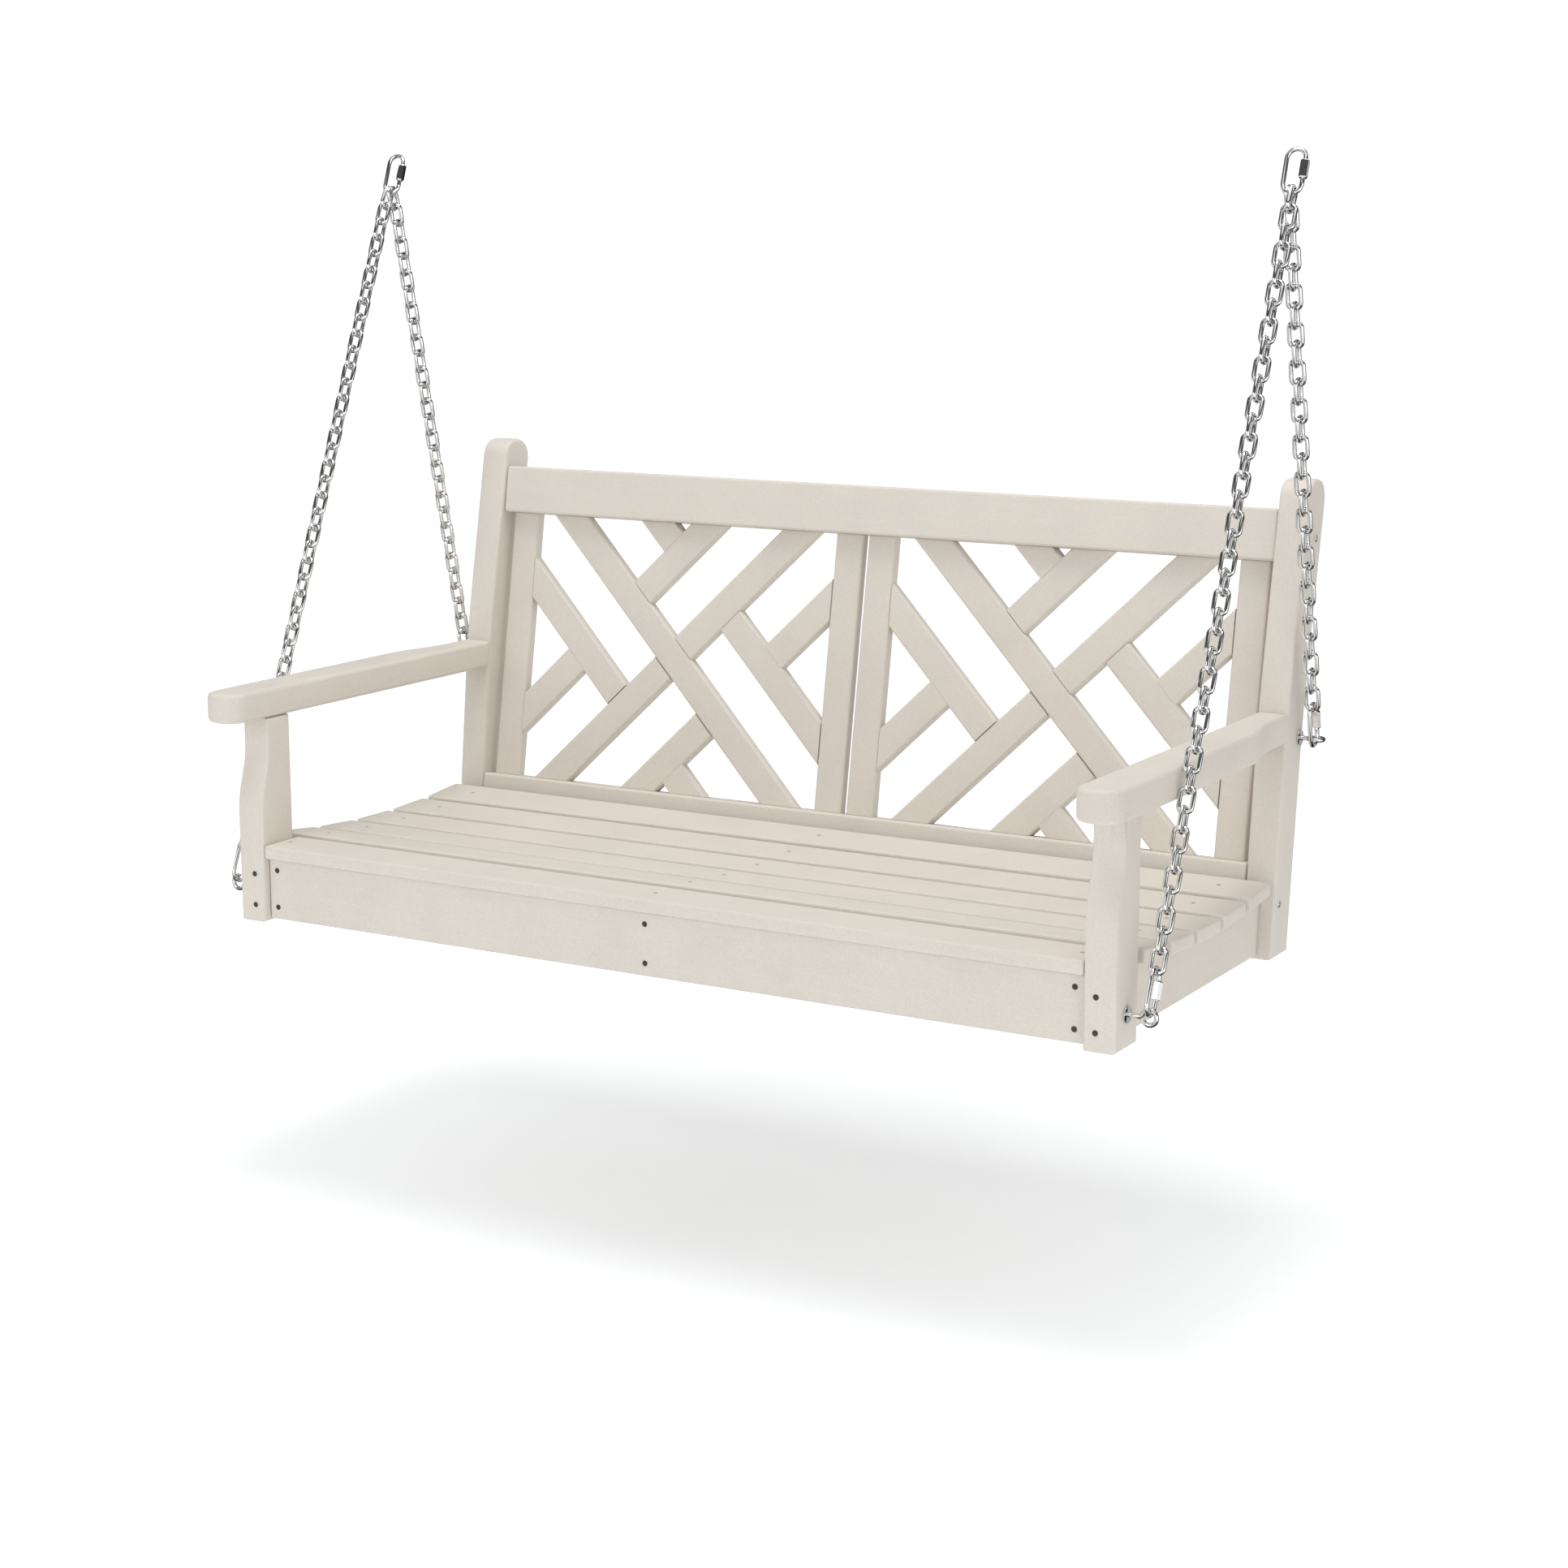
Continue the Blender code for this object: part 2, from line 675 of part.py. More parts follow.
def octagon(length, width, end, shoulder):
    """Half sizes: corner points of a link's edge, from its top end round, as (u, v)."""
    quarter = [(length, end), (shoulder, width), (-shoulder, width), (-length, end)]
    return [(length, -end)] + quarter + [(-u, -v) for u, v in quarter[:3]]


def add_link(bm, centre, turned, shared):
    """Adds one link along +Z. shared holds the corners it has in common with the last one.

    The ends' inner faces are squares as wide as the wire, so each link sits on the next
    square to square, turned a quarter, and the two are one body there.
    """
    half = LINK_PITCH / 2
    w = LINK_WIRE
    wide = LINK_INNER / 2
    inner = octagon(half, wide, w / 2, half - wide + w / 2)
    outer = octagon(half + w, wide + w, 0.9 * w, half - w / 2)

    def corner(u, v, side):
        flat = (v, side * w / 2) if turned else (side * w / 2, v)
        return Vector((flat[0], flat[1], u)) + centre

    def vertex(position):
        for known in shared:
            if (known.co - position).length < 1e-6:
                return known
        return bm.verts.new(position)

    loops = []
    for points, side in ((inner, -1), (inner, 1), (outer, 1), (outer, -1)):
        near = points is inner
        spots = [(corner(u, v, side), near and u < -half + 1e-6) for u, v in points]
        loops.append([vertex(spot) if tip else bm.verts.new(spot) for spot, tip in spots])
    count = len(inner)
    for i in range(4):
        one, two = loops[i], loops[(i + 1) % 4]
        for k in range(count):
            j = (k + 1) % count
            if i == 0 and k == 4 and shared:
                continue
            if i == 0 and k == 0:
                top = [one[0], one[1], two[1], two[0]]
                continue
            bm.faces.new((one[k], one[j], two[j], two[k]))
    return top


def make_chain(name, links, x, start, sign):
    """A taut chain from a bottom quick link up to the top one. Every other link is turned."""
    bm = bmesh.new()
    shared = []
    for index in range(links):
        centre = Vector((0, 0, chain_start() + (index + 0.5) * LINK_PITCH))
        before = len(bm.verts)
        top = add_link(bm, centre, (links - index) % 2 == 0, shared)
        shared = top
    bm.faces.new(shared)
    bm.verts.ensure_lookup_table()
    tip = chain_start() + (links - 1) * LINK_PITCH
    for vert in bm.verts[before:]:
        vert.co.y += sign * TOP_LINK_SPLAY * (vert.co.z - tip)
    place = (x, start.x, start.y)
    return add(name, bm, "zinc_chain", place, chain_lean(start, links, sign), 60)


def quick_link_path():
    """The bent rod of a quick link, as (u, v) with u along it, from gate end to gate end."""
    r = QUICK_WIDTH / 2 + QUICK_WIRE / 2
    straight = QUICK_LENGTH / 2 - QUICK_WIDTH / 2
    sleeve_top = straight - 2 * MM
    gate_top = sleeve_top - 1.8 * MM
    gate_foot = gate_top - GATE_OPENING
    path = [(gate_top, r)]
    path += [(straight + y, x) for x, y in arc((0, 0), r, 0, 180, 6)]
    path += [(-straight - y, -x) for x, y in arc((0, 0), r, 0, 180, 6)]
    path += [(gate_foot, r)]
    return path, sleeve_top


def hexagon_sleeve():
    """A hexagonal nut with a round bore, standing on the origin and along +Z."""
    bm = bmesh.new()
    sides = 12
    bore = QUICK_WIRE / 2 + GAP
    rings = []
    for z in (0, SLEEVE_LENGTH):
        for inside in (False, True):
            ring = []
            for k in range(sides):
                angle = 2 * math.pi * k / sides
                hexagon = SLEEVE_FLATS / 2 / (math.cos(math.pi / 6) if k % 2 == 0 else 1)
                radius = bore / math.cos(math.pi / sides) if inside else hexagon
                ring.append(bm.verts.new((radius * math.cos(angle), radius * math.sin(angle), z)))
            rings.append(ring)
    low_out, low_in, high_out, high_in = rings
    around = (low_out, high_out, high_in, low_in)
    for one, two in zip(around, around[1:] + around[:1]):
        for k in range(sides):
            j = (k + 1) % sides
            bm.faces.new((one[k], one[j], two[j], two[k]))
    return bm


def make_quick_link(stem, x, foot, lean, across):
    """A quick link from its lower wire's inner side, and its sleeve on the gate leg.

    lean is its turn about X. across says where its width lies: "x" or "y". The gate leg is
    on the +X side, or behind.
    """
    path, sleeve_top = quick_link_path()
    middle = QUICK_LENGTH / 2
    if across == "x":
        points = [(v, 0, u + middle) for u, v in path]
    else:
        points = [(0, v, u + middle) for u, v in path]
    rod = swept(points, QUICK_WIRE / 2, 8)
    place = (x, foot.x, foot.y)
    body = add(stem, rod, "steel_fitting", place, lean, 50)
    leg = QUICK_WIDTH / 2 + QUICK_WIRE / 2
    sideways = Vector((leg, 0, 0)) if across == "x" else Vector((0, leg, 0))
    rise = Vector((0, 0, middle + sleeve_top - SLEEVE_LENGTH))
    at = Vector(place) + Matrix.Rotation(lean, 3, "X") @ (sideways + rise)
    sleeve = add(stem + "_sleeve", hexagon_sleeve(), "steel_fitting", at, lean, 25)
    return [body, sleeve]


def make_eye(name, x, y, z, upright):
    """A bent screw eye with its washer. upright rings stand in the XZ plane, others lie flat."""
    reach = x - POST_OUT
    neck = reach - EYE_RADIUS
    path = [(-EYE_SHANK, 0), (neck - 5 * MM, 0), (neck - 1 * MM, 1.6 * MM)]
    path += arc((reach, 0), EYE_RADIUS, 146, -142, 12)
    if upright:
        points = [(a, 0, b) for a, b in path]
    else:
        points = [(a, -b, 0) for a, b in path]
    wire = swept(points, EYE_WIRE / 2, 8)
    eye = add(name, wire, "steel_fitting", (POST_OUT, y, z), 0, 50)
    bm = bmesh.new()
    disc = {"radius1": WASHER_RADIUS, "radius2": WASHER_RADIUS, "depth": WASHER_THICK}
    bmesh.ops.create_cone(bm, cap_ends=True, segments=14, **disc)
    bmesh.ops.rotate(bm, matrix=Matrix.Rotation(math.pi / 2, 3, "Y"), verts=bm.verts)
    washer = add("washer", bm, "steel_fitting", (POST_OUT + GAP + WASHER_THICK / 2, y, z))
    return combine(eye, washer, "UNION")


def make_hanging_gear():
    """Per side: two eyes, two bottom quick links, two chains and the top quick link."""
    front, rear = eye_wire_places()
    pieces = []
    rows = (
        ("front", FRONT_CHAIN_X, front, FRONT_LINKS, 1, FRONT_EYE_AT, FRONT_EYE_HEIGHT),
        ("rear", REAR_CHAIN_X, rear, REAR_LINKS, -1, rear_eye_y(), REAR_EYE_HEIGHT),
    )
    for where, x, wire, links, sign, y, z in rows:
        pieces += pair(make_eye(f"{where}_eye_bolt", x, y, z, where == "front"))
        lean = chain_lean(wire, links, sign)
        foot = wire + Vector((math.sin(lean), -math.cos(lean))) * (EYE_WIRE / 2 + GAP)
        for piece in make_quick_link(f"{where}_quick_link", x, foot, lean, "y"):
            pieces += pair(piece)
        pieces += pair(make_chain(f"{where}_chain", links, x, wire, sign))
    foot = pivot_place() + Vector((math.sin(QUICK_LEAN), math.cos(QUICK_LEAN))) * (QUICK_WIRE / 2)
    x = (FRONT_CHAIN_X + REAR_CHAIN_X) / 2
    for side, sign in (("left", -1), ("right", 1)):
        for piece in make_quick_link("top_quick_link", sign * x, foot, -QUICK_LEAN, "x"):
            piece.name += "_" + side
            pieces.append(piece)
    return pieces


def hook_place():
    """Where the porch hooks bear: inside the top of the top quick links, as (y, z)."""
    up = Vector((math.sin(QUICK_LEAN), math.cos(QUICK_LEAN)))
    return pivot_place() + up * (QUICK_WIRE / 2 + QUICK_LENGTH)


def hang(pieces):
    """Moves the pieces so that the hooks lie at the origin, the swinging ones on an empty
    that stands on the swing's axis."""
    hook = hook_place()
    pivot = pivot_place() - hook
    axis = empty("swing_axis", (0, pivot.x, pivot.y))
    bpy.context.view_layer.update()
    for piece in pieces:
        piece.location -= Vector((0, hook.x, hook.y))
        if not piece.name.startswith("top_quick_link"):
            piece.parent = axis
            piece.matrix_parent_inverse = axis.matrix_world.inverted()


def main():
    clear_scene()
    pieces = make_rear_posts() + make_front_posts() + make_arms()
    pieces += make_slats() + make_side_aprons() + make_cross_aprons() + make_centre_support()
    pieces += make_rails() + make_stiles() + make_lattice()
    pieces += make_hanging_gear()
    hang(pieces)


main()
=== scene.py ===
"""Porch swing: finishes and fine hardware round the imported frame, with a plain studio."""

import json
import math

import bmesh
import bpy
from mathutils import Matrix, Vector
from mathutils.bvhtree import BVHTree


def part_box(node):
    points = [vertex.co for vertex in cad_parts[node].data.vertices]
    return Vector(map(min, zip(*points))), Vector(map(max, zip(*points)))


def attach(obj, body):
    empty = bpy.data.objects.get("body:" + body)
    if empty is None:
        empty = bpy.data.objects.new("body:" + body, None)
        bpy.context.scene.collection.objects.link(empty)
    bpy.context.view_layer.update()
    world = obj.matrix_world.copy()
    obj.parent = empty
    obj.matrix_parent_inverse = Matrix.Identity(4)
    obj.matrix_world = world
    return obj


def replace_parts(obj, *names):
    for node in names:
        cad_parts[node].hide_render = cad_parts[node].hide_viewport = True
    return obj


bl_info = {
    "name": "Porch Swing",
    "version": (1, 0, 0),
    "blender": (4, 5, 0),
    "location": "View3D > Sidebar > Porch Swing",
    "description": "Finishes, chains, quick links, screws and studio for a porch swing",
    "category": "Object",
}

MM = 0.001
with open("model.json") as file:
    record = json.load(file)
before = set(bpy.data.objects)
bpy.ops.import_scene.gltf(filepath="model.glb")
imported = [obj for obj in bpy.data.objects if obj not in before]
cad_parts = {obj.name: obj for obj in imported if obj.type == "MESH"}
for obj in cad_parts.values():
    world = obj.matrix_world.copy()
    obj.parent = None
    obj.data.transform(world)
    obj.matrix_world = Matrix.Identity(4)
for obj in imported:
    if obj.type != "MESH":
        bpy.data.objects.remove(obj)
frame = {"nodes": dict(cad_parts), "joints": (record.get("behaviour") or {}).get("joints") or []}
NODES = frame["nodes"]
JOINTS = {joint["name"]: joint for joint in frame["joints"]}
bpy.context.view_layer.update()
SIDES = (("left", -1), ("right", 1))
CAD_LINK_WIRE = 4.4 * MM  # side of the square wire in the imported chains
CAD_LINK_PITCH = 23.85 * MM
WELD = 1e-6  # below which two points are one
RIGHT_ANGLE = math.pi / 2

HARDWARE_WORDS = ("chain", "quick_link", "eye_bolt")
LUMBER_NODES = [name for name in sorted(NODES) if not any(word in name for word in HARDWARE_WORDS)]


# ---------------------------------------------------------------- settings


class LumberSettings(bpy.types.PropertyGroup):
    """Colour and grain of the plastic boards."""

    colour: bpy.props.StringProperty(
        name="Colour", description="Board colour as an sRGB hex value", default="D7D0C6"
    )
    roughness: bpy.props.FloatProperty(
        name="Roughness", description="Of the matt skin", default=0.56, min=0, max=1
    )
    grain_width: bpy.props.FloatProperty(
        name="Grain Width",
        description="Across the fine drawn streaks of the skin",
        default=2.2 * MM,
        min=0.1 * MM,
        unit="LENGTH",
    )
    grain_length: bpy.props.FloatProperty(
        name="Grain Length",
        description="Along the fine drawn streaks of the skin",
        default=60 * MM,
        min=1 * MM,
        unit="LENGTH",
    )
    pebble: bpy.props.FloatProperty(
        name="Pebble",
        description="Size of the skin's fine pebbling",
        default=1.9 * MM,
        min=0.1 * MM,
        unit="LENGTH",
    )


class HardwareSettings(bpy.types.PropertyGroup):
    """Sizes of the chains, quick links, eyes and screws."""

    link_wire: bpy.props.FloatProperty(
        name="Chain Wire", description="Thickness of a link", default=5.7 * MM, unit="LENGTH"
    )
    link_bend: bpy.props.FloatProperty(
        name="Link Bend",
        description="Radius of a link's corners, to the wire's middle",
        default=6.4 * MM,
        unit="LENGTH",
    )
    link_inside: bpy.props.FloatProperty(
        name="Link Inside", description="Inner width of a link", default=11.2 * MM, unit="LENGTH"
    )
    rod: bpy.props.FloatProperty(
        name="Quick Link Rod", description="Thickness of its wire", default=6 * MM, unit="LENGTH"
    )
    rod_bend: bpy.props.FloatProperty(
        name="Quick Link Bend",
        description="Radius of its ends, to the rod's middle",
        default=12 * MM,
        unit="LENGTH",
    )
    rod_straight: bpy.props.FloatProperty(
        name="Quick Link Straight", description="Its straight legs", default=32 * MM, unit="LENGTH"
    )
    eye_bend: bpy.props.FloatProperty(
        name="Eye Bend",
        description="Radius of an eye, to the wire's middle",
        default=9 * MM,
        unit="LENGTH",
    )
    screw_head: bpy.props.FloatProperty(
        name="Screw Head",
        description="Radius of the bright pan heads on the rear posts",
        default=4.6 * MM,
        unit="LENGTH",
    )
    pilot: bpy.props.FloatProperty(
        name="Sunk Screw",
        description="Radius of the small sunk screws in front",
        default=3.7 * MM,
        unit="LENGTH",
    )
    metal_colour: bpy.props.StringProperty(
        name="Metal Colour", description="Bright metal as an sRGB hex value", default="F2F2F2"
    )


class StudioSettings(bpy.types.PropertyGroup):
    """Camera and floor."""

    focal: bpy.props.FloatProperty(
        name="Focal Length", description="In millimetres on a 36 mm sensor", default=67.51
    )
    turn: bpy.props.FloatProperty(
        name="Turn",
        description="Camera's turn about Z",
        default=math.radians(30.195),
        subtype="ANGLE",
    )
    pitch: bpy.props.FloatProperty(
        name="Pitch",
        description="Camera's tilt down",
        default=math.radians(11.345),
        subtype="ANGLE",
    )
    place: bpy.props.FloatVectorProperty(
        name="Place",
        description="Camera's place from the front posts' feet",
        default=(1.9583, -3.0067, 0.9725),
        subtype="TRANSLATION",
    )
    floor_radius: bpy.props.FloatProperty(
        name="Floor Radius", description="Reach of the paper floor", default=2.4, unit="LENGTH"
    )
    floor_drop: bpy.props.FloatProperty(
        name="Floor Drop", description="Floor below the posts' feet", default=0.385, unit="LENGTH"
    )


# ---------------------------------------------------------------- materials


def linear(code):
    """An sRGB hex value as linear RGBA."""
    parts = [int(code[i : i + 2], 16) / 255 for i in (0, 2, 4)]
    return (*[c / 12.92 if c <= 0.04045 else ((c + 0.055) / 1.055) ** 2.4 for c in parts], 1)


def add_node(tree, kind, settings=None, **links):
    """A node with its settings. A link is an input's name, with underscores for spaces, or i and
    its number, and holds either a value or another node's output socket."""
    node = tree.nodes.new(kind)
    for key, value in (settings or {}).items():
        setattr(node, key, value)
    for key, value in links.items():
        numbered = key[0] == "i" and key[1:].isdigit()
        socket = node.inputs[int(key[1:]) if numbered else key.replace("_", " ")]
        if isinstance(value, bpy.types.NodeSocket):
            tree.links.new(value, socket)
        else:
            socket.default_value = value
    return node


def new_material(name):
    material = bpy.data.materials.new(name)
    material.use_nodes = True
    material.node_tree.nodes.clear()
    return material, material.node_tree


def finish_material(tree, **inputs):
    shader = add_node(tree, "ShaderNodeBsdfPrincipled", **inputs)
    add_node(tree, "ShaderNodeOutputMaterial", Surface=shader.outputs[0])


def shade(code, factor):
    """A hex colour made lighter or darker, as linear RGBA."""
    red, green, blue, _ = linear(code)
    return (min(red * factor, 1), min(green * factor, 1), min(blue * factor, 1), 1)


def two_tones(tree, factor, dark, light):
    """Turns a value to a colour between two (position, colour) stops."""
    ramp = add_node(tree, "ShaderNodeValToRGB", Fac=factor)
    for stop, (position, colour) in zip(ramp.color_ramp.elements, (dark, light)):
        stop.position = position
        stop.color = colour
    return ramp.outputs[0]


def varied(tree, factor, low, high):
    """A value that wanders between two limits with a pattern."""
    return add_node(
        tree, "ShaderNodeMapRange", Value=factor, To_Min=low, To_Max=high
    ).outputs[0]


def lumber_material(name, turn):
    """Extruded and planed HDPE lumber with a matt pebbled skin. The extruder draws faint streaks
    along each board, so the eye sees a soft, slightly cloudy surface with no gloss on it. The real
    pebbling is finer, and is drawn this coarse so that it shows."""
    settings = bpy.context.scene.swing_lumber
    material, tree = new_material(name)
    place = add_node(tree, "ShaderNodeTexCoord").outputs["Object"]
    turned = add_node(
        tree, "ShaderNodeMapping", {"vector_type": "TEXTURE"}, Vector=place, Rotation=turn
    )
    along = 1 / settings.grain_length
    across = 1 / settings.grain_width
    stretched = add_node(
        tree, "ShaderNodeMapping", Vector=turned.outputs[0], Scale=(along, across, across)
    )
    streaks = add_node(
        tree,
        "ShaderNodeTexNoise",
        Vector=stretched.outputs[0],
        Scale=1.0,
        Detail=3.0,
        Roughness=0.55,
    )
    pebbles = add_node(
        tree,
        "ShaderNodeTexNoise",
        Vector=place,
        Scale=1 / settings.pebble,
        Detail=2.0,
        Roughness=0.6,
    )
    # Batches of regrind differ a little in tone over a hand's breadth.
    clouds = add_node(tree, "ShaderNodeTexNoise", Vector=place, Scale=1 / (90 * MM), Detail=2.0)
    total = 0.0
    for pattern, share in ((streaks, 0.16), (pebbles, 0.6), (clouds, 0.24)):
        added = {"operation": "MULTIPLY_ADD"}
        total = add_node(
            tree, "ShaderNodeMath", added, i0=pattern.outputs[0], i1=share, i2=total
        ).outputs[0]
    tone = two_tones(
        tree, total, (0.34, shade(settings.colour, 0.925)), (0.66, shade(settings.colour, 1.06))
    )
    roughness = settings.roughness
    pebbled = add_node(
        tree, "ShaderNodeBump", Height=pebbles.outputs[0], Strength=0.35, Distance=0.3 * MM
    )
    drawn = add_node(
        tree,
        "ShaderNodeBump",
        Height=streaks.outputs[0],
        Strength=0.05,
        Distance=0.3 * MM,
        Normal=pebbled.outputs[0],
    )
    finish_material(
        tree,
        Base_Color=tone,
        Roughness=varied(tree, pebbles.outputs[0], roughness - 0.07, roughness + 0.09),
        IOR=1.5,
        Specular_IOR_Level=0.42,
        Normal=drawn.outputs[0],
    )
    return material


def metal_material(name, tint, roughness, unevenness, scale):
    """Bright metal: electro-galvanised steel wire or polished stainless, told apart by the size
    and strength of the cloudiness in its polish."""
    material, tree = new_material(name)
    place = add_node(tree, "ShaderNodeTexCoord").outputs["Object"]
    cloud = add_node(
        tree, "ShaderNodeTexNoise", Vector=place, Scale=1 / scale, Detail=3.0
    ).outputs[0]
    bump = add_node(tree, "ShaderNodeBump", Height=cloud, Strength=0.02, Distance=0.05 * MM)
    finish_material(
        tree,
        Base_Color=two_tones(tree, cloud, (0.25, shade(tint, 0.9)), (0.75, shade(tint, 1.04))),
        Metallic=1.0,
        Roughness=varied(tree, cloud, roughness - unevenness, roughness + unevenness),
        Normal=bump.outputs[0],
    )
    return material


def plain_material(name, code, roughness, scale):
    """A matt finish with a little unevenness, for the screw sockets, whose dark colour is painted
    shade, and for the slats' plugs.
    """
    material, tree = new_material(name)
    place = add_node(tree, "ShaderNodeTexCoord").outputs["Object"]
    grit = add_node(tree, "ShaderNodeTexNoise", Vector=place, Scale=1 / scale, Detail=2.0)
    rough = varied(tree, grit.outputs[0], roughness - 0.05, roughness + 0.05)
    finish_material(tree, Base_Color=linear(code), Roughness=rough)
    return material


def named(name, make, *settings):
    """A material by name, made the first time it is asked for."""
    return bpy.data.materials.get(name) or make(name, *settings)


def zinc():
    tint = bpy.context.scene.swing_hardware.metal_colour
    return named("bright_zinc_plated_steel_wire", metal_material, tint, 0.07, 0.03, 4 * MM)


def stainless():
    tint = bpy.context.scene.swing_hardware.metal_colour
    return named("polished_stainless_steel", metal_material, tint, 0.05, 0.02, 7 * MM)


# ---------------------------------------------------------------- shaping


def once(items):
    """The items in their own order, each once. A set would put them in another order each run."""
    return list(dict.fromkeys(items))


def new_wire(bm, place, facing, radius, sides):
    """A round wire's first rim, capped, facing the way the wire will run."""
    turn = Vector((0, 0, 1)).rotation_difference(Vector(facing)).to_matrix().to_4x4()
    made = bmesh.ops.create_circle(
        bm, cap_ends=True, radius=radius, segments=sides, matrix=Matrix.Translation(place) @ turn
    )
    return once(e for v in made["verts"] for e in v.link_edges)


def last_rim(made):
    """The edges that join two new points, out of what an operator made."""
    new = {v for v in made if isinstance(v, bmesh.types.BMVert)}
    return [e for e in made if isinstance(e, bmesh.types.BMEdge) and set(e.verts) <= new]


def run_on(bm, rim, by, widen=1.0):
    """Draws the wire on by a vector, and may widen it."""
    made = bmesh.ops.extrude_edge_only(bm, edges=rim)["geom"]
    points = [v for v in made if isinstance(v, bmesh.types.BMVert)]
    bmesh.ops.translate(bm, vec=by, verts=points)
    if widen != 1.0:
        middle = sum((v.co for v in points), Vector()) / len(points)
        space = Matrix.Translation(-middle)
        bmesh.ops.scale(bm, vec=(widen, widen, widen), space=space, verts=points)
    return last_rim(made)


def bend_on(bm, rim, centre, axis, angle, steps):
    """Bends the wire round an axis."""
    points = once(v for e in rim for v in e.verts)
    made = bmesh.ops.spin(
        bm, geom=points + rim, cent=centre, axis=axis, dvec=(0, 0, 0), angle=angle, steps=steps,
        use_merge=False, use_duplicate=False,
    )["geom_last"]  # fmt: skip
    return last_rim(made)


def close_rim(bm, rim):
    bmesh.ops.contextual_create(bm, geom=rim)


def thread_on(bm, rim, direction, length, pitch, depth):
    """Cuts a thread's crests and roots along a run of wire."""
    turns = max(1, round(length / pitch))
    step = Vector(direction) * (length / turns / 2)
    for _ in range(turns):
        rim = run_on(bm, rim, step, 1 + depth)
        rim = run_on(bm, rim, step, 1 / (1 + depth))
    return rim


def add_piece(name, bm, material, body, smooth_angle, place=None):
    """A finished piece from a bmesh, standing at the origin, riding on its body. Edges that turn
    by more than smooth_angle, in degrees, are drawn sharp."""
    if place is not None:
        bmesh.ops.transform(bm, matrix=place, verts=bm.verts)
    bmesh.ops.remove_doubles(bm, verts=bm.verts, dist=WELD)
    bmesh.ops.recalc_face_normals(bm, faces=bm.faces)
    mesh = bpy.data.meshes.new(name)
    bm.to_mesh(mesh)
    bm.free()
    mesh.shade_smooth()
    mesh.set_sharp_from_angle(angle=math.radians(smooth_angle))
    mesh.materials.append(material)
    piece = bpy.data.objects.new(name, mesh)
    bpy.context.scene.collection.objects.link(piece)
    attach(piece, body)
    return piece


def points_of(node):
    return [v.co.copy() for v in NODES[node].data.vertices]


def spread(values):
    """(lowest, highest) of some numbers."""
    values = list(values)
    return min(values), max(values)


def middle(pair):
    return (pair[0] + pair[1]) / 2


# ---------------------------------------------------------------- boards


BACK_LEAN = math.radians(-9.5)
DEEP = ("arm", "side_apron", "centre_support")
UPRIGHT = ("front_post", "rear_post")
FALLING = ("main_diagonal", "side_tee")
CLIMBING = ("upper_diagonal", "lower_diagonal", "upper_tee", "lower_tee")


def board_turn(name):
    """The grain's name, and the turn that lays a board's length along the grain's X."""
    if name.startswith(DEEP):
        return "deep", (0, 0, RIGHT_ANGLE)
    if name.startswith(UPRIGHT):
        return "upright", (0, RIGHT_ANGLE, 0)
    if "stile" in name:
        return "upright", (BACK_LEAN, RIGHT_ANGLE, 0)
    if name.startswith(FALLING):
        return "falling", (BACK_LEAN, RIGHT_ANGLE / 2, 0)
    if name.startswith(CLIMBING):
        return "climbing", (BACK_LEAN, -RIGHT_ANGLE / 2, 0)
    return "wide", (0, 0, 0)


def soften(node):
    """Shades the board's rounded arrises smooth and keeps its flats flat."""
    node.data.shade_smooth()
    weld = node.modifiers.new("Weld", "WELD")
    weld.merge_threshold = 1e-5
    split = node.modifiers.new("Arrises", "EDGE_SPLIT")
    split.split_angle = math.radians(50)
    split.use_edge_sharp = False
    flats = node.modifiers.new("Flats", "WEIGHTED_NORMAL")
    flats.weight = 80
    flats.keep_sharp = True


def finish_boards():
    for name in LUMBER_NODES:
        grain, turn = board_turn(name)
        board = NODES[name]
        board.data.materials.clear()
        board.data.materials.append(named(f"hdpe_lumber_{grain}_grain", lumber_material, turn))
        soften(board)


# ---------------------------------------------------------------- chains


def link_shape(bm, pitch, wire, inside, bend):
    """One welded link along Z, lying in the YZ plane, with its inner tips half a pitch away.
    Its legs are straight and its ends a little squared, as a chain machine bends them."""
    leg = (inside + wire) / 2
    across = 2 * (leg - bend)
    half = (pitch + wire) / 2 - bend
    rim = new_wire(bm, (0, leg, -half), (0, 0, 1), wire / 2, 10)
    bmesh.ops.delete(bm, geom=list(bm.faces), context="FACES_ONLY")
    for end in (1, -1):
        rim = run_on(bm, rim, (0, 0, 2 * half * end))
        rim = bend_on(bm, rim, (0, (leg - bend) * end, half * end), (1, 0, 0), RIGHT_ANGLE, 4)
        rim = run_on(bm, rim, (0, -across * end, 0))
        rim = bend_on(bm, rim, (0, -(leg - bend) * end, half * end), (1, 0, 0), RIGHT_ANGLE, 4)
    bmesh.ops.remove_doubles(bm, verts=bm.verts, dist=1e-5)


def chain_line(node, up):
    """Where a packed chain lies: its lowest inner tip, its sideways direction, its number of
    links, their pitch, and the lean of its last link."""
    side = Vector((0, up.z, -up.y))
    points = points_of(node)
    x = middle(spread(p.x for p in points))
    low, high = spread(p.dot(up) for p in points)
    length = high - low - 2 * CAD_LINK_WIRE
    count = round(length / CAD_LINK_PITCH)
    pitch = length / count
    tip = high - CAD_LINK_WIRE - pitch
    straight = [p for p in points if p.dot(up) < tip - pitch]
    offset = middle(spread(p.dot(side) for p in straight))
    top = [p.dot(side) for p in points if p.dot(up) > high - CAD_LINK_WIRE * 0.5]
    splay = math.atan2(middle(spread(top)) - offset, pitch + CAD_LINK_WIRE)
    foot = Vector((x, 0, 0)) + up * (low + CAD_LINK_WIRE) + side * offset
    return foot, side, count, pitch, splay


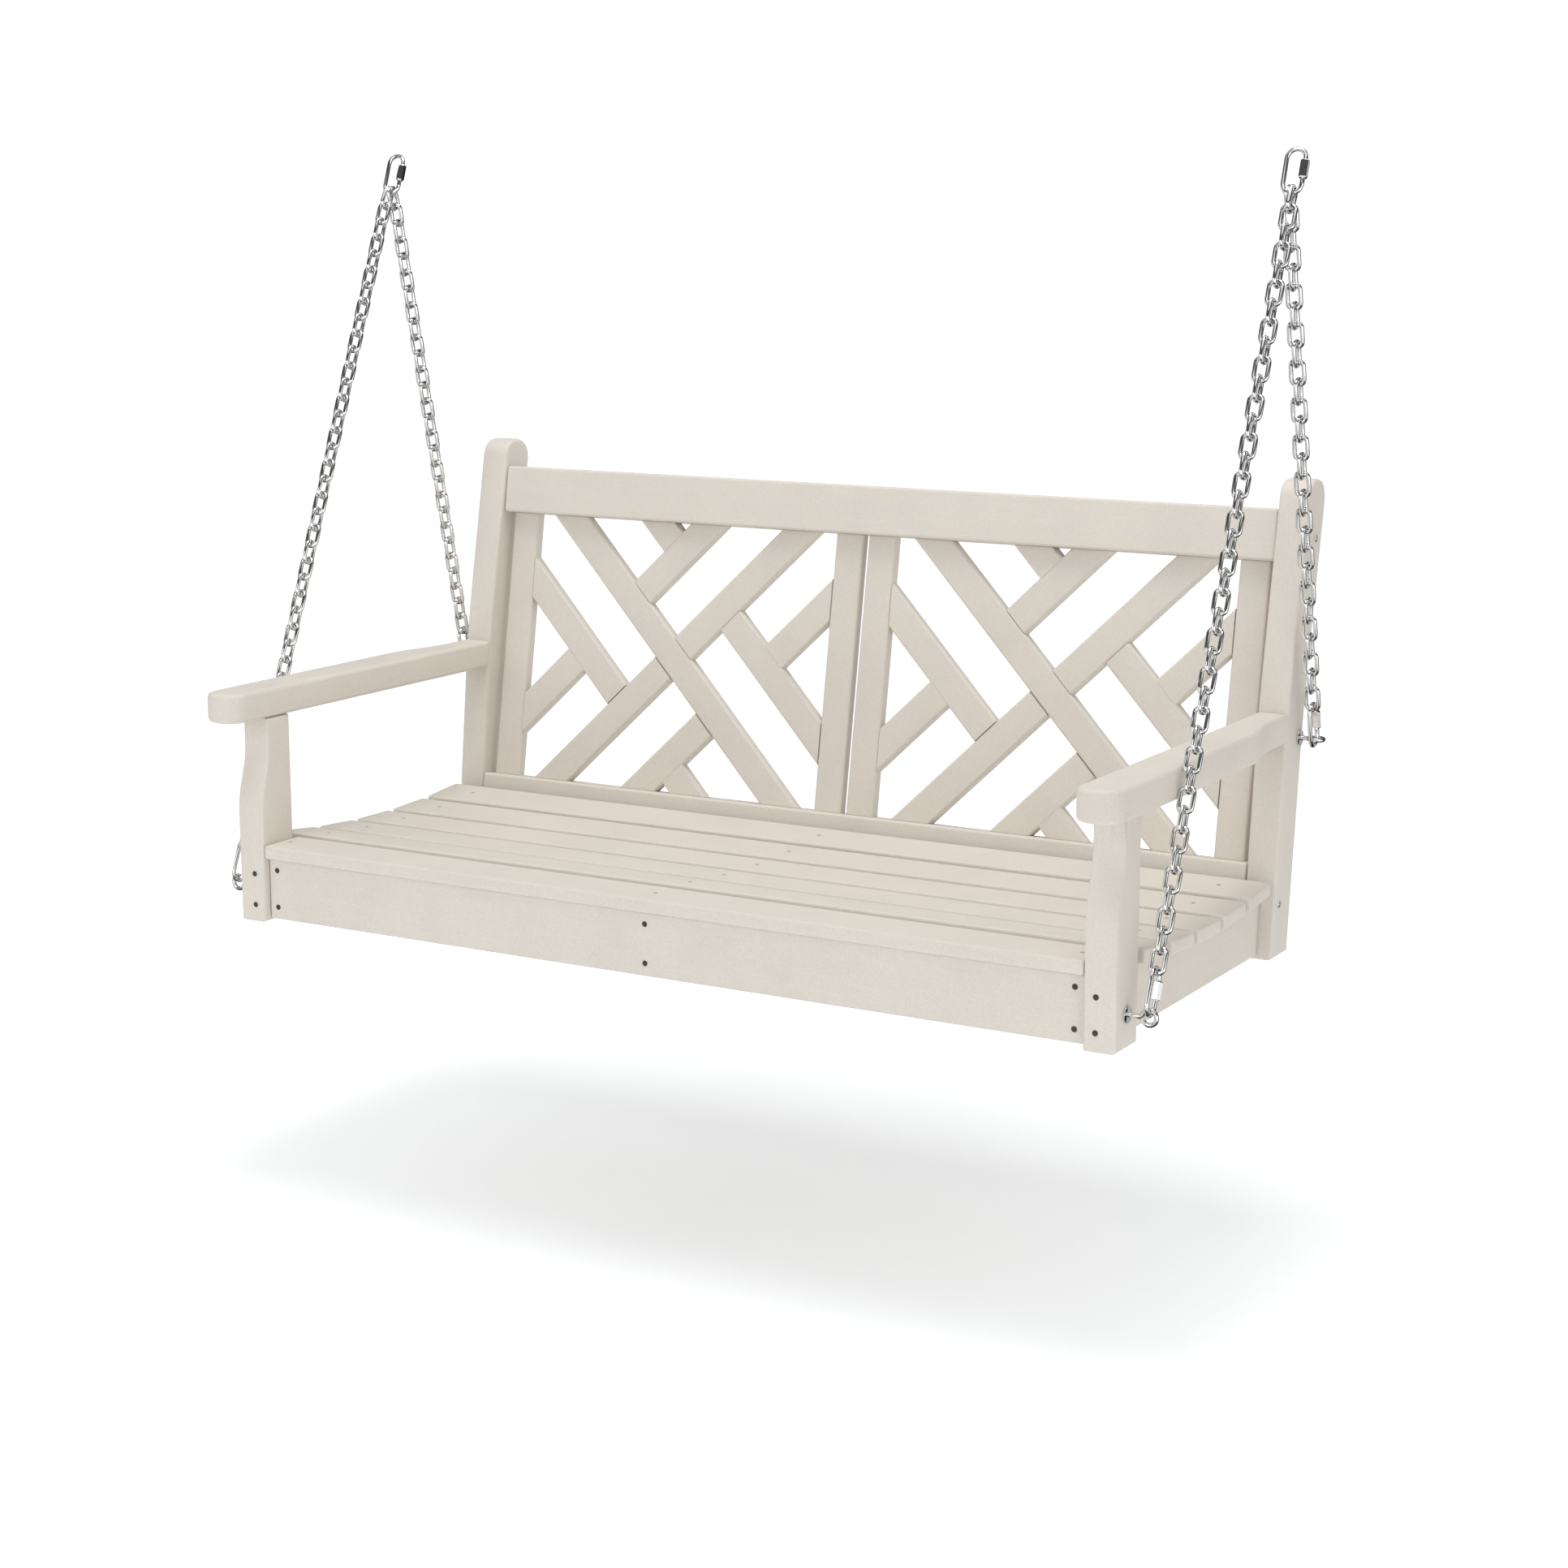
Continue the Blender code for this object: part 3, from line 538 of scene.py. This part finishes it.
def make_chain(node, joint):
    hardware = bpy.context.scene.swing_hardware
    up = -Vector(JOINTS[joint]["axis"]).normalized()
    foot, side, count, pitch, splay = chain_line(node, up)
    bm = bmesh.new()
    link_shape(bm, pitch, hardware.link_wire, hardware.link_inside, hardware.link_bend)
    pattern = list(bm.verts) + list(bm.edges) + list(bm.faces)
    upright = Matrix((Vector((1, 0, 0)), side, up)).transposed().to_4x4()
    for index in range(count):
        copied = bmesh.ops.duplicate(bm, geom=pattern)["geom"]
        points = [v for v in copied if isinstance(v, bmesh.types.BMVert)]
        crossways = (count - index) % 2 == 0
        turn = Matrix.Rotation(RIGHT_ANGLE if crossways else 0, 4, "Z")
        lift = Matrix.Translation((0, 0, (index + 0.5) * pitch))
        move = lift @ turn
        if index == count - 1:
            tip = Matrix.Translation((0, 0, index * pitch))
            move = tip @ Matrix.Rotation(-splay, 4, "X") @ tip.inverted() @ move
        bmesh.ops.transform(bm, matrix=Matrix.Translation(foot) @ upright @ move, verts=points)
    first = [g for g in pattern if isinstance(g, bmesh.types.BMVert)]
    bmesh.ops.delete(bm, geom=first, context="VERTS")
    piece = add_piece(node + "_links", bm, zinc(), "swing", 60)
    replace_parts(piece, node)


def make_chains():
    for side, _ in SIDES:
        for where in ("front", "rear"):
            make_chain(f"{where}_chain_{side}", f"{where}_sleeve_{side}")


# ---------------------------------------------------------------- quick links


def link_space(node, up, across):
    """The matrix from a quick link's own space (Y across it, Z along) to its place."""
    points = points_of(node)
    third = across.cross(up)
    centre = (
        across * middle(spread(p.dot(across) for p in points))
        + up * middle(spread(p.dot(up) for p in points))
        + third * middle(spread(p.dot(third) for p in points))
    )
    return Matrix.Translation(centre) @ Matrix((third, across, up)).transposed().to_4x4()


GATE_TOP = 12.2 * MM  # ends of the gate's gap, from the quick link's middle
GATE_FOOT = 5.7 * MM
ROD_THREAD = 8 * MM
ROD_THREAD_PITCH = 1 * MM
ROD_EASE = 0.15 * MM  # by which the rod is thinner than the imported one


def make_rod(name, place, body):
    """The bent rod. Its gap lies on one leg, and the thread under it carries the sleeve."""
    hardware = bpy.context.scene.swing_hardware
    bend = hardware.rod_bend
    half = hardware.rod_straight / 2
    bm = bmesh.new()
    rim = new_wire(bm, (0, bend, GATE_TOP), (0, 0, 1), hardware.rod / 2 - ROD_EASE, 16)
    rim = run_on(bm, rim, (0, 0, half - GATE_TOP))
    rim = bend_on(bm, rim, (0, 0, half), (1, 0, 0), math.pi, 12)
    rim = run_on(bm, rim, (0, 0, -2 * half))
    rim = bend_on(bm, rim, (0, 0, -half), (1, 0, 0), math.pi, 12)
    rim = thread_on(bm, rim, (0, 0, 1), ROD_THREAD, ROD_THREAD_PITCH, 0.05)
    rim = run_on(bm, rim, (0, 0, GATE_FOOT + half - ROD_THREAD))
    close_rim(bm, rim)
    return add_piece(name, bm, stainless(), body, 35, place)


SLEEVE_SIDES = 12  # two to each side of the hexagon, so that its ends can be round
SLEEVE_END = 1.2 * MM  # length of its turned end
SLEEVE_END_SHARE = 0.99  # radius of the turned end against half the flats
SLEEVE_EASE = 0.3 * MM  # of its bore round the rod


def make_sleeve(node, up, across, body):
    """A hexagonal sleeve nut with turned ends and an open bore."""
    hardware = bpy.context.scene.swing_hardware
    points = points_of(node)
    low, high = spread(p.dot(up) for p in points)
    place = link_space(node, up, across)
    half = (high - low) / 2
    bm = bmesh.new()
    flats = half_across_flats(points, up)
    end = flats * SLEEVE_END_SHARE
    corner = flats / math.cos(math.pi / 6)
    foot = new_wire(bm, (0, 0, -half), (0, 0, 1), end, SLEEVE_SIDES)
    bmesh.ops.delete(bm, geom=list(bm.faces), context="FACES_ONLY")
    rim = run_on(bm, foot, (0, 0, SLEEVE_END))
    reshape(rim, corner, flats)
    rim = run_on(bm, rim, (0, 0, 2 * (half - SLEEVE_END)))
    rim = run_on(bm, rim, (0, 0, SLEEVE_END))
    reshape(rim, end, end)
    bore = new_wire(
        bm, (0, 0, -half), (0, 0, 1), hardware.rod / 2 + SLEEVE_EASE, SLEEVE_SIDES
    )
    bmesh.ops.delete(bm, geom=once(f for e in bore for f in e.link_faces), context="FACES_ONLY")
    bore_top = run_on(bm, bore, (0, 0, 2 * half))
    bmesh.ops.bridge_loops(bm, edges=foot + bore)
    bmesh.ops.bridge_loops(bm, edges=rim + bore_top)
    piece = add_piece(node + "_nut", bm, stainless(), body, 12, place)
    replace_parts(piece, node)


def half_across_flats(points, up):
    """Half the distance across the flats of a sleeve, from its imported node."""
    across = up.cross(Vector((1, 0, 0)))
    low, high = spread(p.dot(across) for p in points)
    return (high - low) / 2


def reshape(rim, corner, flats):
    """Moves a rim's points in or out: every other one, from the first, to a hexagon's corners and
    the rest to the middles of its flats."""
    for point in once(v for e in rim for v in e.verts):
        angle = math.degrees(math.atan2(point.co.y, point.co.x)) % 60
        reach = corner if min(angle, 60 - angle) < 10 else flats
        now = Vector((point.co.x, point.co.y)).length
        point.co.x *= reach / now
        point.co.y *= reach / now


def make_quick_links():
    """The lower ones stand in the chain's plane and the top ones across it."""
    for side, _ in SIDES:
        for where, body in (("front", "swing"), ("rear", "swing"), ("top", "top_links")):
            up = -Vector(JOINTS[f"{where}_sleeve_{side}"]["axis"]).normalized()
            across = Vector((1, 0, 0)) if where == "top" else Vector((0, up.z, -up.y))
            node = f"{where}_quick_link_{side}"
            place = link_space(node, up, across)
            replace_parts(make_rod(node + "_rod", place, body), node)
            sleeve = f"{where}_quick_link_sleeve_{side}"
            make_sleeve(sleeve, up, across, sleeve)


# ---------------------------------------------------------------- eye bolts


EYE_BEND = 4 * MM  # radius by which the shank swings up into the ring
EYE_ROOT = 25 * MM  # of the shank, inside the post
EYE_TURN = math.radians(318)  # of the ring, which stops short of the shank
WASHER_RADIUS = 10.7 * MM
WASHER_THICK = 2 * MM
WASHER_STAND = 0.3 * MM  # off the post's face
WASHER_EASE = 0.4 * MM


def make_eye(node, chain, sign, upright):
    """A bent wire eye in its washer: the shank swings up into the ring, which closes on it."""
    hardware = bpy.context.scene.swing_hardware
    wire = hardware.rod / 2
    ring = hardware.eye_bend
    points = [Vector((sign * p.x, p.y, p.z)) for p in points_of(node)]
    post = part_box("rear_post_right")[1][0]
    near = [p for p in points if abs(p.x - post) < 3 * MM]
    y = middle(spread(p.y for p in near))
    z = middle(spread(p.z for p in near))
    x = sign * middle(spread(p.x for p in points_of(chain)))
    reach = x - post
    straight = reach - math.sqrt(ring**2 + 2 * ring * EYE_BEND)
    rise = math.atan2(EYE_BEND, reach - straight)
    bm = bmesh.new()
    rim = new_wire(bm, (-EYE_ROOT, 0, 0), (1, 0, 0), wire, 14)
    rim = run_on(bm, rim, (EYE_ROOT + straight, 0, 0))
    rim = bend_on(bm, rim, (straight, 0, EYE_BEND), (0, -1, 0), RIGHT_ANGLE - rise, 5)
    rim = bend_on(bm, rim, (reach, 0, 0), (0, 1, 0), EYE_TURN, 26)
    close_rim(bm, rim)
    turn = Matrix.Rotation(0 if upright else RIGHT_ANGLE, 4, "X")
    bmesh.ops.transform(bm, matrix=turn, verts=bm.verts)
    washer_disc(bm)
    mirror = Matrix.Scale(sign, 4, (1, 0, 0))
    place = mirror @ Matrix.Translation((post, y, z))
    piece = add_piece(node + "_wire", bm, stainless(), "swing", 40, place)
    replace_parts(piece, node)


def washer_disc(bm):
    """A stamped washer on the post's face, its rims eased."""
    turn = Matrix.Rotation(RIGHT_ANGLE, 4, "Y")
    place = Matrix.Translation((WASHER_STAND + WASHER_THICK / 2, 0, 0))
    made = bmesh.ops.create_cone(
        bm,
        cap_ends=True,
        segments=32,
        radius1=WASHER_RADIUS,
        radius2=WASHER_RADIUS,
        depth=WASHER_THICK,
        matrix=place @ turn,
    )
    edges = once(e for v in made["verts"] for e in v.link_edges)
    rims = [e for e in edges if abs(e.verts[0].co.x - e.verts[1].co.x) < WELD]
    bevel = {"affect": "EDGES", "segments": 2, "profile": 0.5, "material": -1}
    bmesh.ops.bevel(bm, geom=rims, offset=WASHER_EASE, **bevel)


def make_eyes():
    for side, sign in SIDES:
        make_eye(f"front_eye_bolt_{side}", f"front_chain_{side}", sign, True)
        make_eye(f"rear_eye_bolt_{side}", f"rear_chain_{side}", sign, False)


# ---------------------------------------------------------------- fixings


def datum():
    """The front posts' feet, midway between them: fixings are set out from here."""
    low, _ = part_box("front_post_right")
    return Vector((0, low[1], low[2]))


def face_under(node, start, direction):
    """Where a line from start meets a board, and the matrix that stands a fixing there."""
    graph = bpy.context.evaluated_depsgraph_get()
    tree = BVHTree.FromObject(NODES[node], graph)
    place, normal, _, _ = tree.ray_cast(datum() + Vector(start) * MM, Vector(direction))
    if place is None:
        raise RuntimeError(f"no face of {node} under {start}")
    turn = Vector((0, 0, 1)).rotation_difference(normal).to_matrix().to_4x4()
    return Matrix.Translation(place) @ turn


PAN_HEAD_HEIGHT = 2.4 * MM
PAN_HEAD_ROUND = 1.3 * MM


def pan_head(bm, place, radius):
    """A pan-head screw: a disc with a domed rim."""
    made = bmesh.ops.create_cone(
        bm,
        cap_ends=True,
        segments=24,
        radius1=radius,
        radius2=radius,
        depth=PAN_HEAD_HEIGHT,
        matrix=place @ Matrix.Translation((0, 0, PAN_HEAD_HEIGHT / 2)),
    )
    normal = (place.to_3x3() @ Vector((0, 0, 1))).normalized()
    caps = [f for f in once(f for v in made["verts"] for f in v.link_faces) if len(f.verts) > 4]
    crown = max(caps, key=lambda f: f.calc_center_median().dot(normal))
    bevel = {"affect": "EDGES", "segments": 4, "profile": 0.5, "material": -1}
    bmesh.ops.bevel(bm, geom=list(crown.edges), offset=PAN_HEAD_ROUND, **bevel)


def sunk_screw(bm, place, radius, proud):
    """A shallow dished disc, for the rim round a sunk screw or for a plug."""
    stand = place @ Matrix.Translation((0, 0, 0.05 * MM))
    made = bmesh.ops.create_circle(
        bm, cap_ends=True, radius=radius, segments=20, matrix=stand
    )
    face = made["verts"][0].link_faces[0]
    lifted = bmesh.ops.extrude_face_region(bm, geom=[face])["geom"]
    normal = (place.to_3x3() @ Vector((0, 0, 1))).normalized()
    tops = [v for v in lifted if isinstance(v, bmesh.types.BMVert)]
    bmesh.ops.translate(bm, vec=normal * proud, verts=tops)
    top = next(f for f in lifted if isinstance(f, bmesh.types.BMFace))
    bmesh.ops.inset_region(bm, faces=[top], thickness=radius * 0.3, depth=-proud * 0.6)


def screw_recess(bm, place, radius):
    """A sunk screw's bright head: a domed disc whose driver recess is punched in."""
    made = bmesh.ops.create_circle(bm, cap_ends=True, radius=radius, segments=18, matrix=place)
    face = made["verts"][0].link_faces[0]
    for thickness, depth in ((0.25, 0.35), (0.3, 0.0), (0.02, -0.45)):
        bmesh.ops.inset_region(bm, faces=[face], thickness=radius * thickness, depth=depth * MM)


# Where the fixings are, in millimetres from the datum.
PAN_HEADS_AT = ((516, 71), (605, 537))  # depth and height, on each rear post's outer face
APRON_SCREWS_AT = ((-593, 0, 593), (72, 21))  # across and height, on the front apron
POST_SCREWS_AT = (624, (66, 23))  # across and heights, on each front post
PLUGS_AT = (-590, 0, 590)  # across, on each slat


def make_fixings():
    """Screws in the rear posts, sunk screws in front, and plugs over the slats' screws."""
    hardware = bpy.context.scene.swing_hardware
    bright = bmesh.new()
    for side, sign in SIDES:
        for y, z in PAN_HEADS_AT:
            place = face_under(f"rear_post_{side}", (sign * 700, y, z), (-sign, 0, 0))
            pan_head(bright, place, hardware.screw_head)
    add_piece("pan_head_screws", bright, stainless(), "swing", 30)
    columns, rows = APRON_SCREWS_AT
    spots = [("front_apron", x, z) for x in columns for z in rows]
    column, rows = POST_SCREWS_AT
    spots += [(f"front_post_{side}", sign * column, z) for side, sign in SIDES for z in rows]
    rims = bmesh.new()
    heads = bmesh.new()
    for node, x, z in spots:
        place = face_under(node, (x, -100, z), (0, 1, 0))
        sunk_screw(rims, place, hardware.pilot, 0.35 * MM)
        head = place @ Matrix.Translation((0, 0, 0.1 * MM))
        screw_recess(heads, head, hardware.pilot * 0.62)
    # The sockets are dark discs on the boards' faces: painted shade, standing in for the shade
    # down in each screw's recess.
    dark = named("shadowed_screw_socket", plain_material, "3F3934", 0.5, 2 * MM)
    add_piece("sunk_screw_sockets_painted_shade", rims, dark, "swing", 30)
    add_piece("sunk_screw_heads", heads, stainless(), "swing", 30)
    plugs = bmesh.new()
    for slat in sorted(name for name in NODES if name.startswith("seat_slat_")):
        low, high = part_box(slat)
        y = (middle((low[1], high[1])) - datum().y) / MM
        for x in PLUGS_AT:
            place = face_under(slat, (x, y, 200), (0, 0, -1))
            sunk_screw(plugs, place, 2.9 * MM, 0.2 * MM)
    plug = named("moulded_screw_plug", plain_material, "A9A093", 0.6, 2 * MM)
    add_piece("slat_screw_plugs", plugs, plug, "swing", 30)


# ---------------------------------------------------------------- studio


def floor_material():
    """Matt white paper with a painted glow: it shines faintly by itself, which lightens the
    swing's shadow on it, and more towards its far edges so that it runs into the white.
    """
    material, tree = new_material("white_paper_floor_with_painted_glow")
    place = add_node(tree, "ShaderNodeTexCoord").outputs["Object"]
    reach = add_node(tree, "ShaderNodeVectorMath", {"operation": "LENGTH"}, i0=place)
    # Painted glow: the floor gives off light of its own. It is faint and even out to 1.4 m, where
    # it lightens the swing's shadow, and it rises towards the edge.
    glow = add_node(
        tree,
        "ShaderNodeMapRange",
        Value=reach.outputs["Value"],
        From_Min=1.4,
        From_Max=2.2,
        To_Min=0.14,
        To_Max=0.5,
    )
    finish_material(
        tree,
        Base_Color=linear("F6F9FB"),
        Roughness=0.9,
        Emission_Color=(1, 1, 1, 1),
        Emission_Strength=glow.outputs[0],
    )
    return material


def make_floor():
    studio = bpy.context.scene.swing_studio
    bm = bmesh.new()
    bmesh.ops.create_circle(bm, cap_ends=True, radius=studio.floor_radius, segments=96)
    height = datum().z - studio.floor_drop
    bmesh.ops.translate(bm, vec=(0, 0, height), verts=bm.verts)
    mesh = bpy.data.meshes.new("studio_floor")
    bm.to_mesh(mesh)
    bm.free()
    mesh.materials.append(floor_material())
    floor = bpy.data.objects.new("studio_floor", mesh)
    bpy.context.scene.collection.objects.link(floor)
    floor.visible_glossy = False  # the metal sees the flags instead


def make_light(name, place, target, size, power):
    light = bpy.data.lights.new(name, "AREA")
    light.shape = "RECTANGLE"
    light.size, light.size_y = size
    light.energy = power
    lamp = bpy.data.objects.new(name, light)
    lamp.location = datum() + Vector(place)
    lamp.rotation_euler = (Vector(target) - Vector(place)).to_track_quat("-Z", "Y").to_euler()
    bpy.context.scene.collection.objects.link(lamp)


def make_camera():
    studio = bpy.context.scene.swing_studio
    lens = bpy.data.cameras.new("camera")
    lens.lens = studio.focal
    lens.sensor_width = 36
    lens.clip_end = 100
    camera = bpy.data.objects.new("camera", lens)
    camera.location = datum() + Vector(studio.place)
    camera.rotation_euler = (math.pi / 2 - studio.pitch, 0, studio.turn)
    bpy.context.scene.collection.objects.link(camera)
    bpy.context.scene.camera = camera


# What bright metal sees: (share of a turn from -X by way of -Y, brightness) and (height from
# straight down to straight up, brightness).
FLAGS = (
    (0.0, 0.9), (0.08, 1.0), (0.105, 0.3), (0.165, 0.3), (0.19, 1.0), (0.3, 1.0), (0.34, 0.7),
    (0.38, 1.0), (0.53, 1.0), (0.555, 0.02), (0.655, 0.02), (0.68, 0.5), (0.8, 0.25),
    (0.96, 0.25), (1.0, 0.9),
)  # fmt: skip
CEILING = (
    (0.0, 0.1), (0.2, 0.1), (0.26, 0.9), (0.34, 0.9), (0.37, 1.0), (0.62, 1.0), (0.65, 0.08),
    (0.79, 0.08), (0.82, 1.0), (1.0, 1.0),
)  # fmt: skip
# Name, place and target from the datum in metres, width and height, and watts.
LIGHTS = (
    ("overhead_softbox", (0.2, 0.1, 3.6), (0, 0.3, 0), (2.0, 1.3), 54),
    ("front_softbox", (-1.4, -4.2, 1.7), (0, 0.2, 0.2), (2.6, 2.2), 29),
    ("side_softbox", (4.2, -1.2, 1.2), (0.6, 0.2, 0.3), (2.0, 2.0), 3.5),
    ("low_softbox", (3.4, -1.6, -0.1), (0.6, 0.1, 0.1), (1.2, 1.0), 10),
)


def grey_ramp(tree, factor, stops):
    """Turns a value to grey by way of a row of (position, brightness) stops."""
    ramp = add_node(tree, "ShaderNodeValToRGB", Fac=factor)
    steps = ramp.color_ramp.elements
    steps[0].position, steps[1].position = stops[0][0], stops[-1][0]
    for position, _ in stops[1:-1]:
        steps.new(position)
    for step, (_, grey) in zip(steps, stops):
        step.color = (grey, grey, grey, 1)
    return ramp.outputs[0]


def make_world():
    """White all round. Bright metal alone sees dark flags between the softboxes, as a
    photographer sets them up to draw its edges."""
    world = bpy.data.worlds.new("white_studio")
    world.use_nodes = True
    tree = world.node_tree
    tree.nodes.clear()
    rays = add_node(tree, "ShaderNodeLightPath")
    heading = add_node(tree, "ShaderNodeTexCoord").outputs["Generated"]
    round_it = add_node(tree, "ShaderNodeTexGradient", {"gradient_type": "RADIAL"}, Vector=heading)
    flags = grey_ramp(tree, round_it.outputs["Fac"], FLAGS)
    height = add_node(tree, "ShaderNodeSeparateXYZ", Vector=heading).outputs["Z"]
    level = add_node(tree, "ShaderNodeMapRange", Value=height, From_Min=-1.0, From_Max=1.0)
    ceiling = grey_ramp(tree, level.outputs[0], CEILING)
    both = add_node(tree, "ShaderNodeMath", {"operation": "MULTIPLY"}, i0=flags, i1=ceiling)
    sky = add_node(tree, "ShaderNodeBackground", Color=(1, 1, 1, 1), Strength=0.7)
    shown = add_node(tree, "ShaderNodeBackground", Color=(1, 1, 1, 1), Strength=1.1)
    flagged = add_node(tree, "ShaderNodeBackground", Color=both.outputs[0], Strength=1.0)
    for ray, instead in (("Is Camera Ray", shown), ("Is Glossy Ray", flagged)):
        sky = add_node(
            tree,
            "ShaderNodeMixShader",
            i0=rays.outputs[ray],
            i1=sky.outputs[0],
            i2=instead.outputs[0],
        )
    add_node(tree, "ShaderNodeOutputWorld", Surface=sky.outputs[0])
    bpy.context.scene.world = world
    bpy.context.scene.view_settings.view_transform = "Standard"


# ---------------------------------------------------------------- operators


class SWING_OT_finish_boards(bpy.types.Operator):
    """Give every board its matt plastic finish, with the grain along it"""

    bl_idname = "swing.finish_boards"
    bl_label = "Finish Boards"

    def execute(self, context):
        finish_boards()
        return {"FINISHED"}


class SWING_OT_make_chains(bpy.types.Operator):
    """Make the four chains, link by link"""

    bl_idname = "swing.make_chains"
    bl_label = "Make Chains"

    def execute(self, context):
        make_chains()
        return {"FINISHED"}


class SWING_OT_make_quick_links(bpy.types.Operator):
    """Make the six quick links and their sleeve nuts"""

    bl_idname = "swing.make_quick_links"
    bl_label = "Make Quick Links"

    def execute(self, context):
        make_quick_links()
        return {"FINISHED"}


class SWING_OT_make_eyes(bpy.types.Operator):
    """Make the four eye bolts with their washers"""

    bl_idname = "swing.make_eyes"
    bl_label = "Make Eye Bolts"

    def execute(self, context):
        make_eyes()
        return {"FINISHED"}


class SWING_OT_make_fixings(bpy.types.Operator):
    """Set the screws and plugs"""

    bl_idname = "swing.make_fixings"
    bl_label = "Make Fixings"

    def execute(self, context):
        make_fixings()
        return {"FINISHED"}


class SWING_OT_set_stage(bpy.types.Operator):
    """Set up the floor, lights and camera"""

    bl_idname = "swing.set_stage"
    bl_label = "Set Stage"

    def execute(self, context):
        make_floor()
        make_world()
        for light in LIGHTS:
            make_light(*light)
        make_camera()
        return {"FINISHED"}


class SWING_PT_panel(bpy.types.Panel):
    """Lists the swing's pieces in the sidebar."""

    bl_idname = "SWING_PT_panel"
    bl_label = "Porch Swing"
    bl_space_type = "VIEW_3D"
    bl_region_type = "UI"
    bl_category = "Porch Swing"

    def draw(self, context):
        column = self.layout.column()
        for operator in OPERATORS:
            column.operator(operator.bl_idname)
        scene = context.scene
        for settings in (scene.swing_lumber, scene.swing_hardware, scene.swing_studio):
            for name in settings.bl_rna.properties.keys():
                if name not in ("rna_type", "name"):
                    column.prop(settings, name)


OPERATORS = (
    SWING_OT_finish_boards,
    SWING_OT_make_chains,
    SWING_OT_make_quick_links,
    SWING_OT_make_eyes,
    SWING_OT_make_fixings,
    SWING_OT_set_stage,
)
CLASSES = (LumberSettings, HardwareSettings, StudioSettings, *OPERATORS, SWING_PT_panel)


def register():
    for cls in CLASSES:
        bpy.utils.register_class(cls)
    bpy.types.Scene.swing_lumber = bpy.props.PointerProperty(type=LumberSettings)
    bpy.types.Scene.swing_hardware = bpy.props.PointerProperty(type=HardwareSettings)
    bpy.types.Scene.swing_studio = bpy.props.PointerProperty(type=StudioSettings)


def unregister():
    del bpy.types.Scene.swing_lumber
    del bpy.types.Scene.swing_hardware
    del bpy.types.Scene.swing_studio
    for cls in reversed(CLASSES):
        bpy.utils.unregister_class(cls)


def main():
    register()
    bpy.ops.swing.finish_boards()
    bpy.ops.swing.make_chains()
    bpy.ops.swing.make_quick_links()
    bpy.ops.swing.make_eyes()
    bpy.ops.swing.make_fixings()
    bpy.ops.swing.set_stage()


if __name__ == "__main__":
    main()
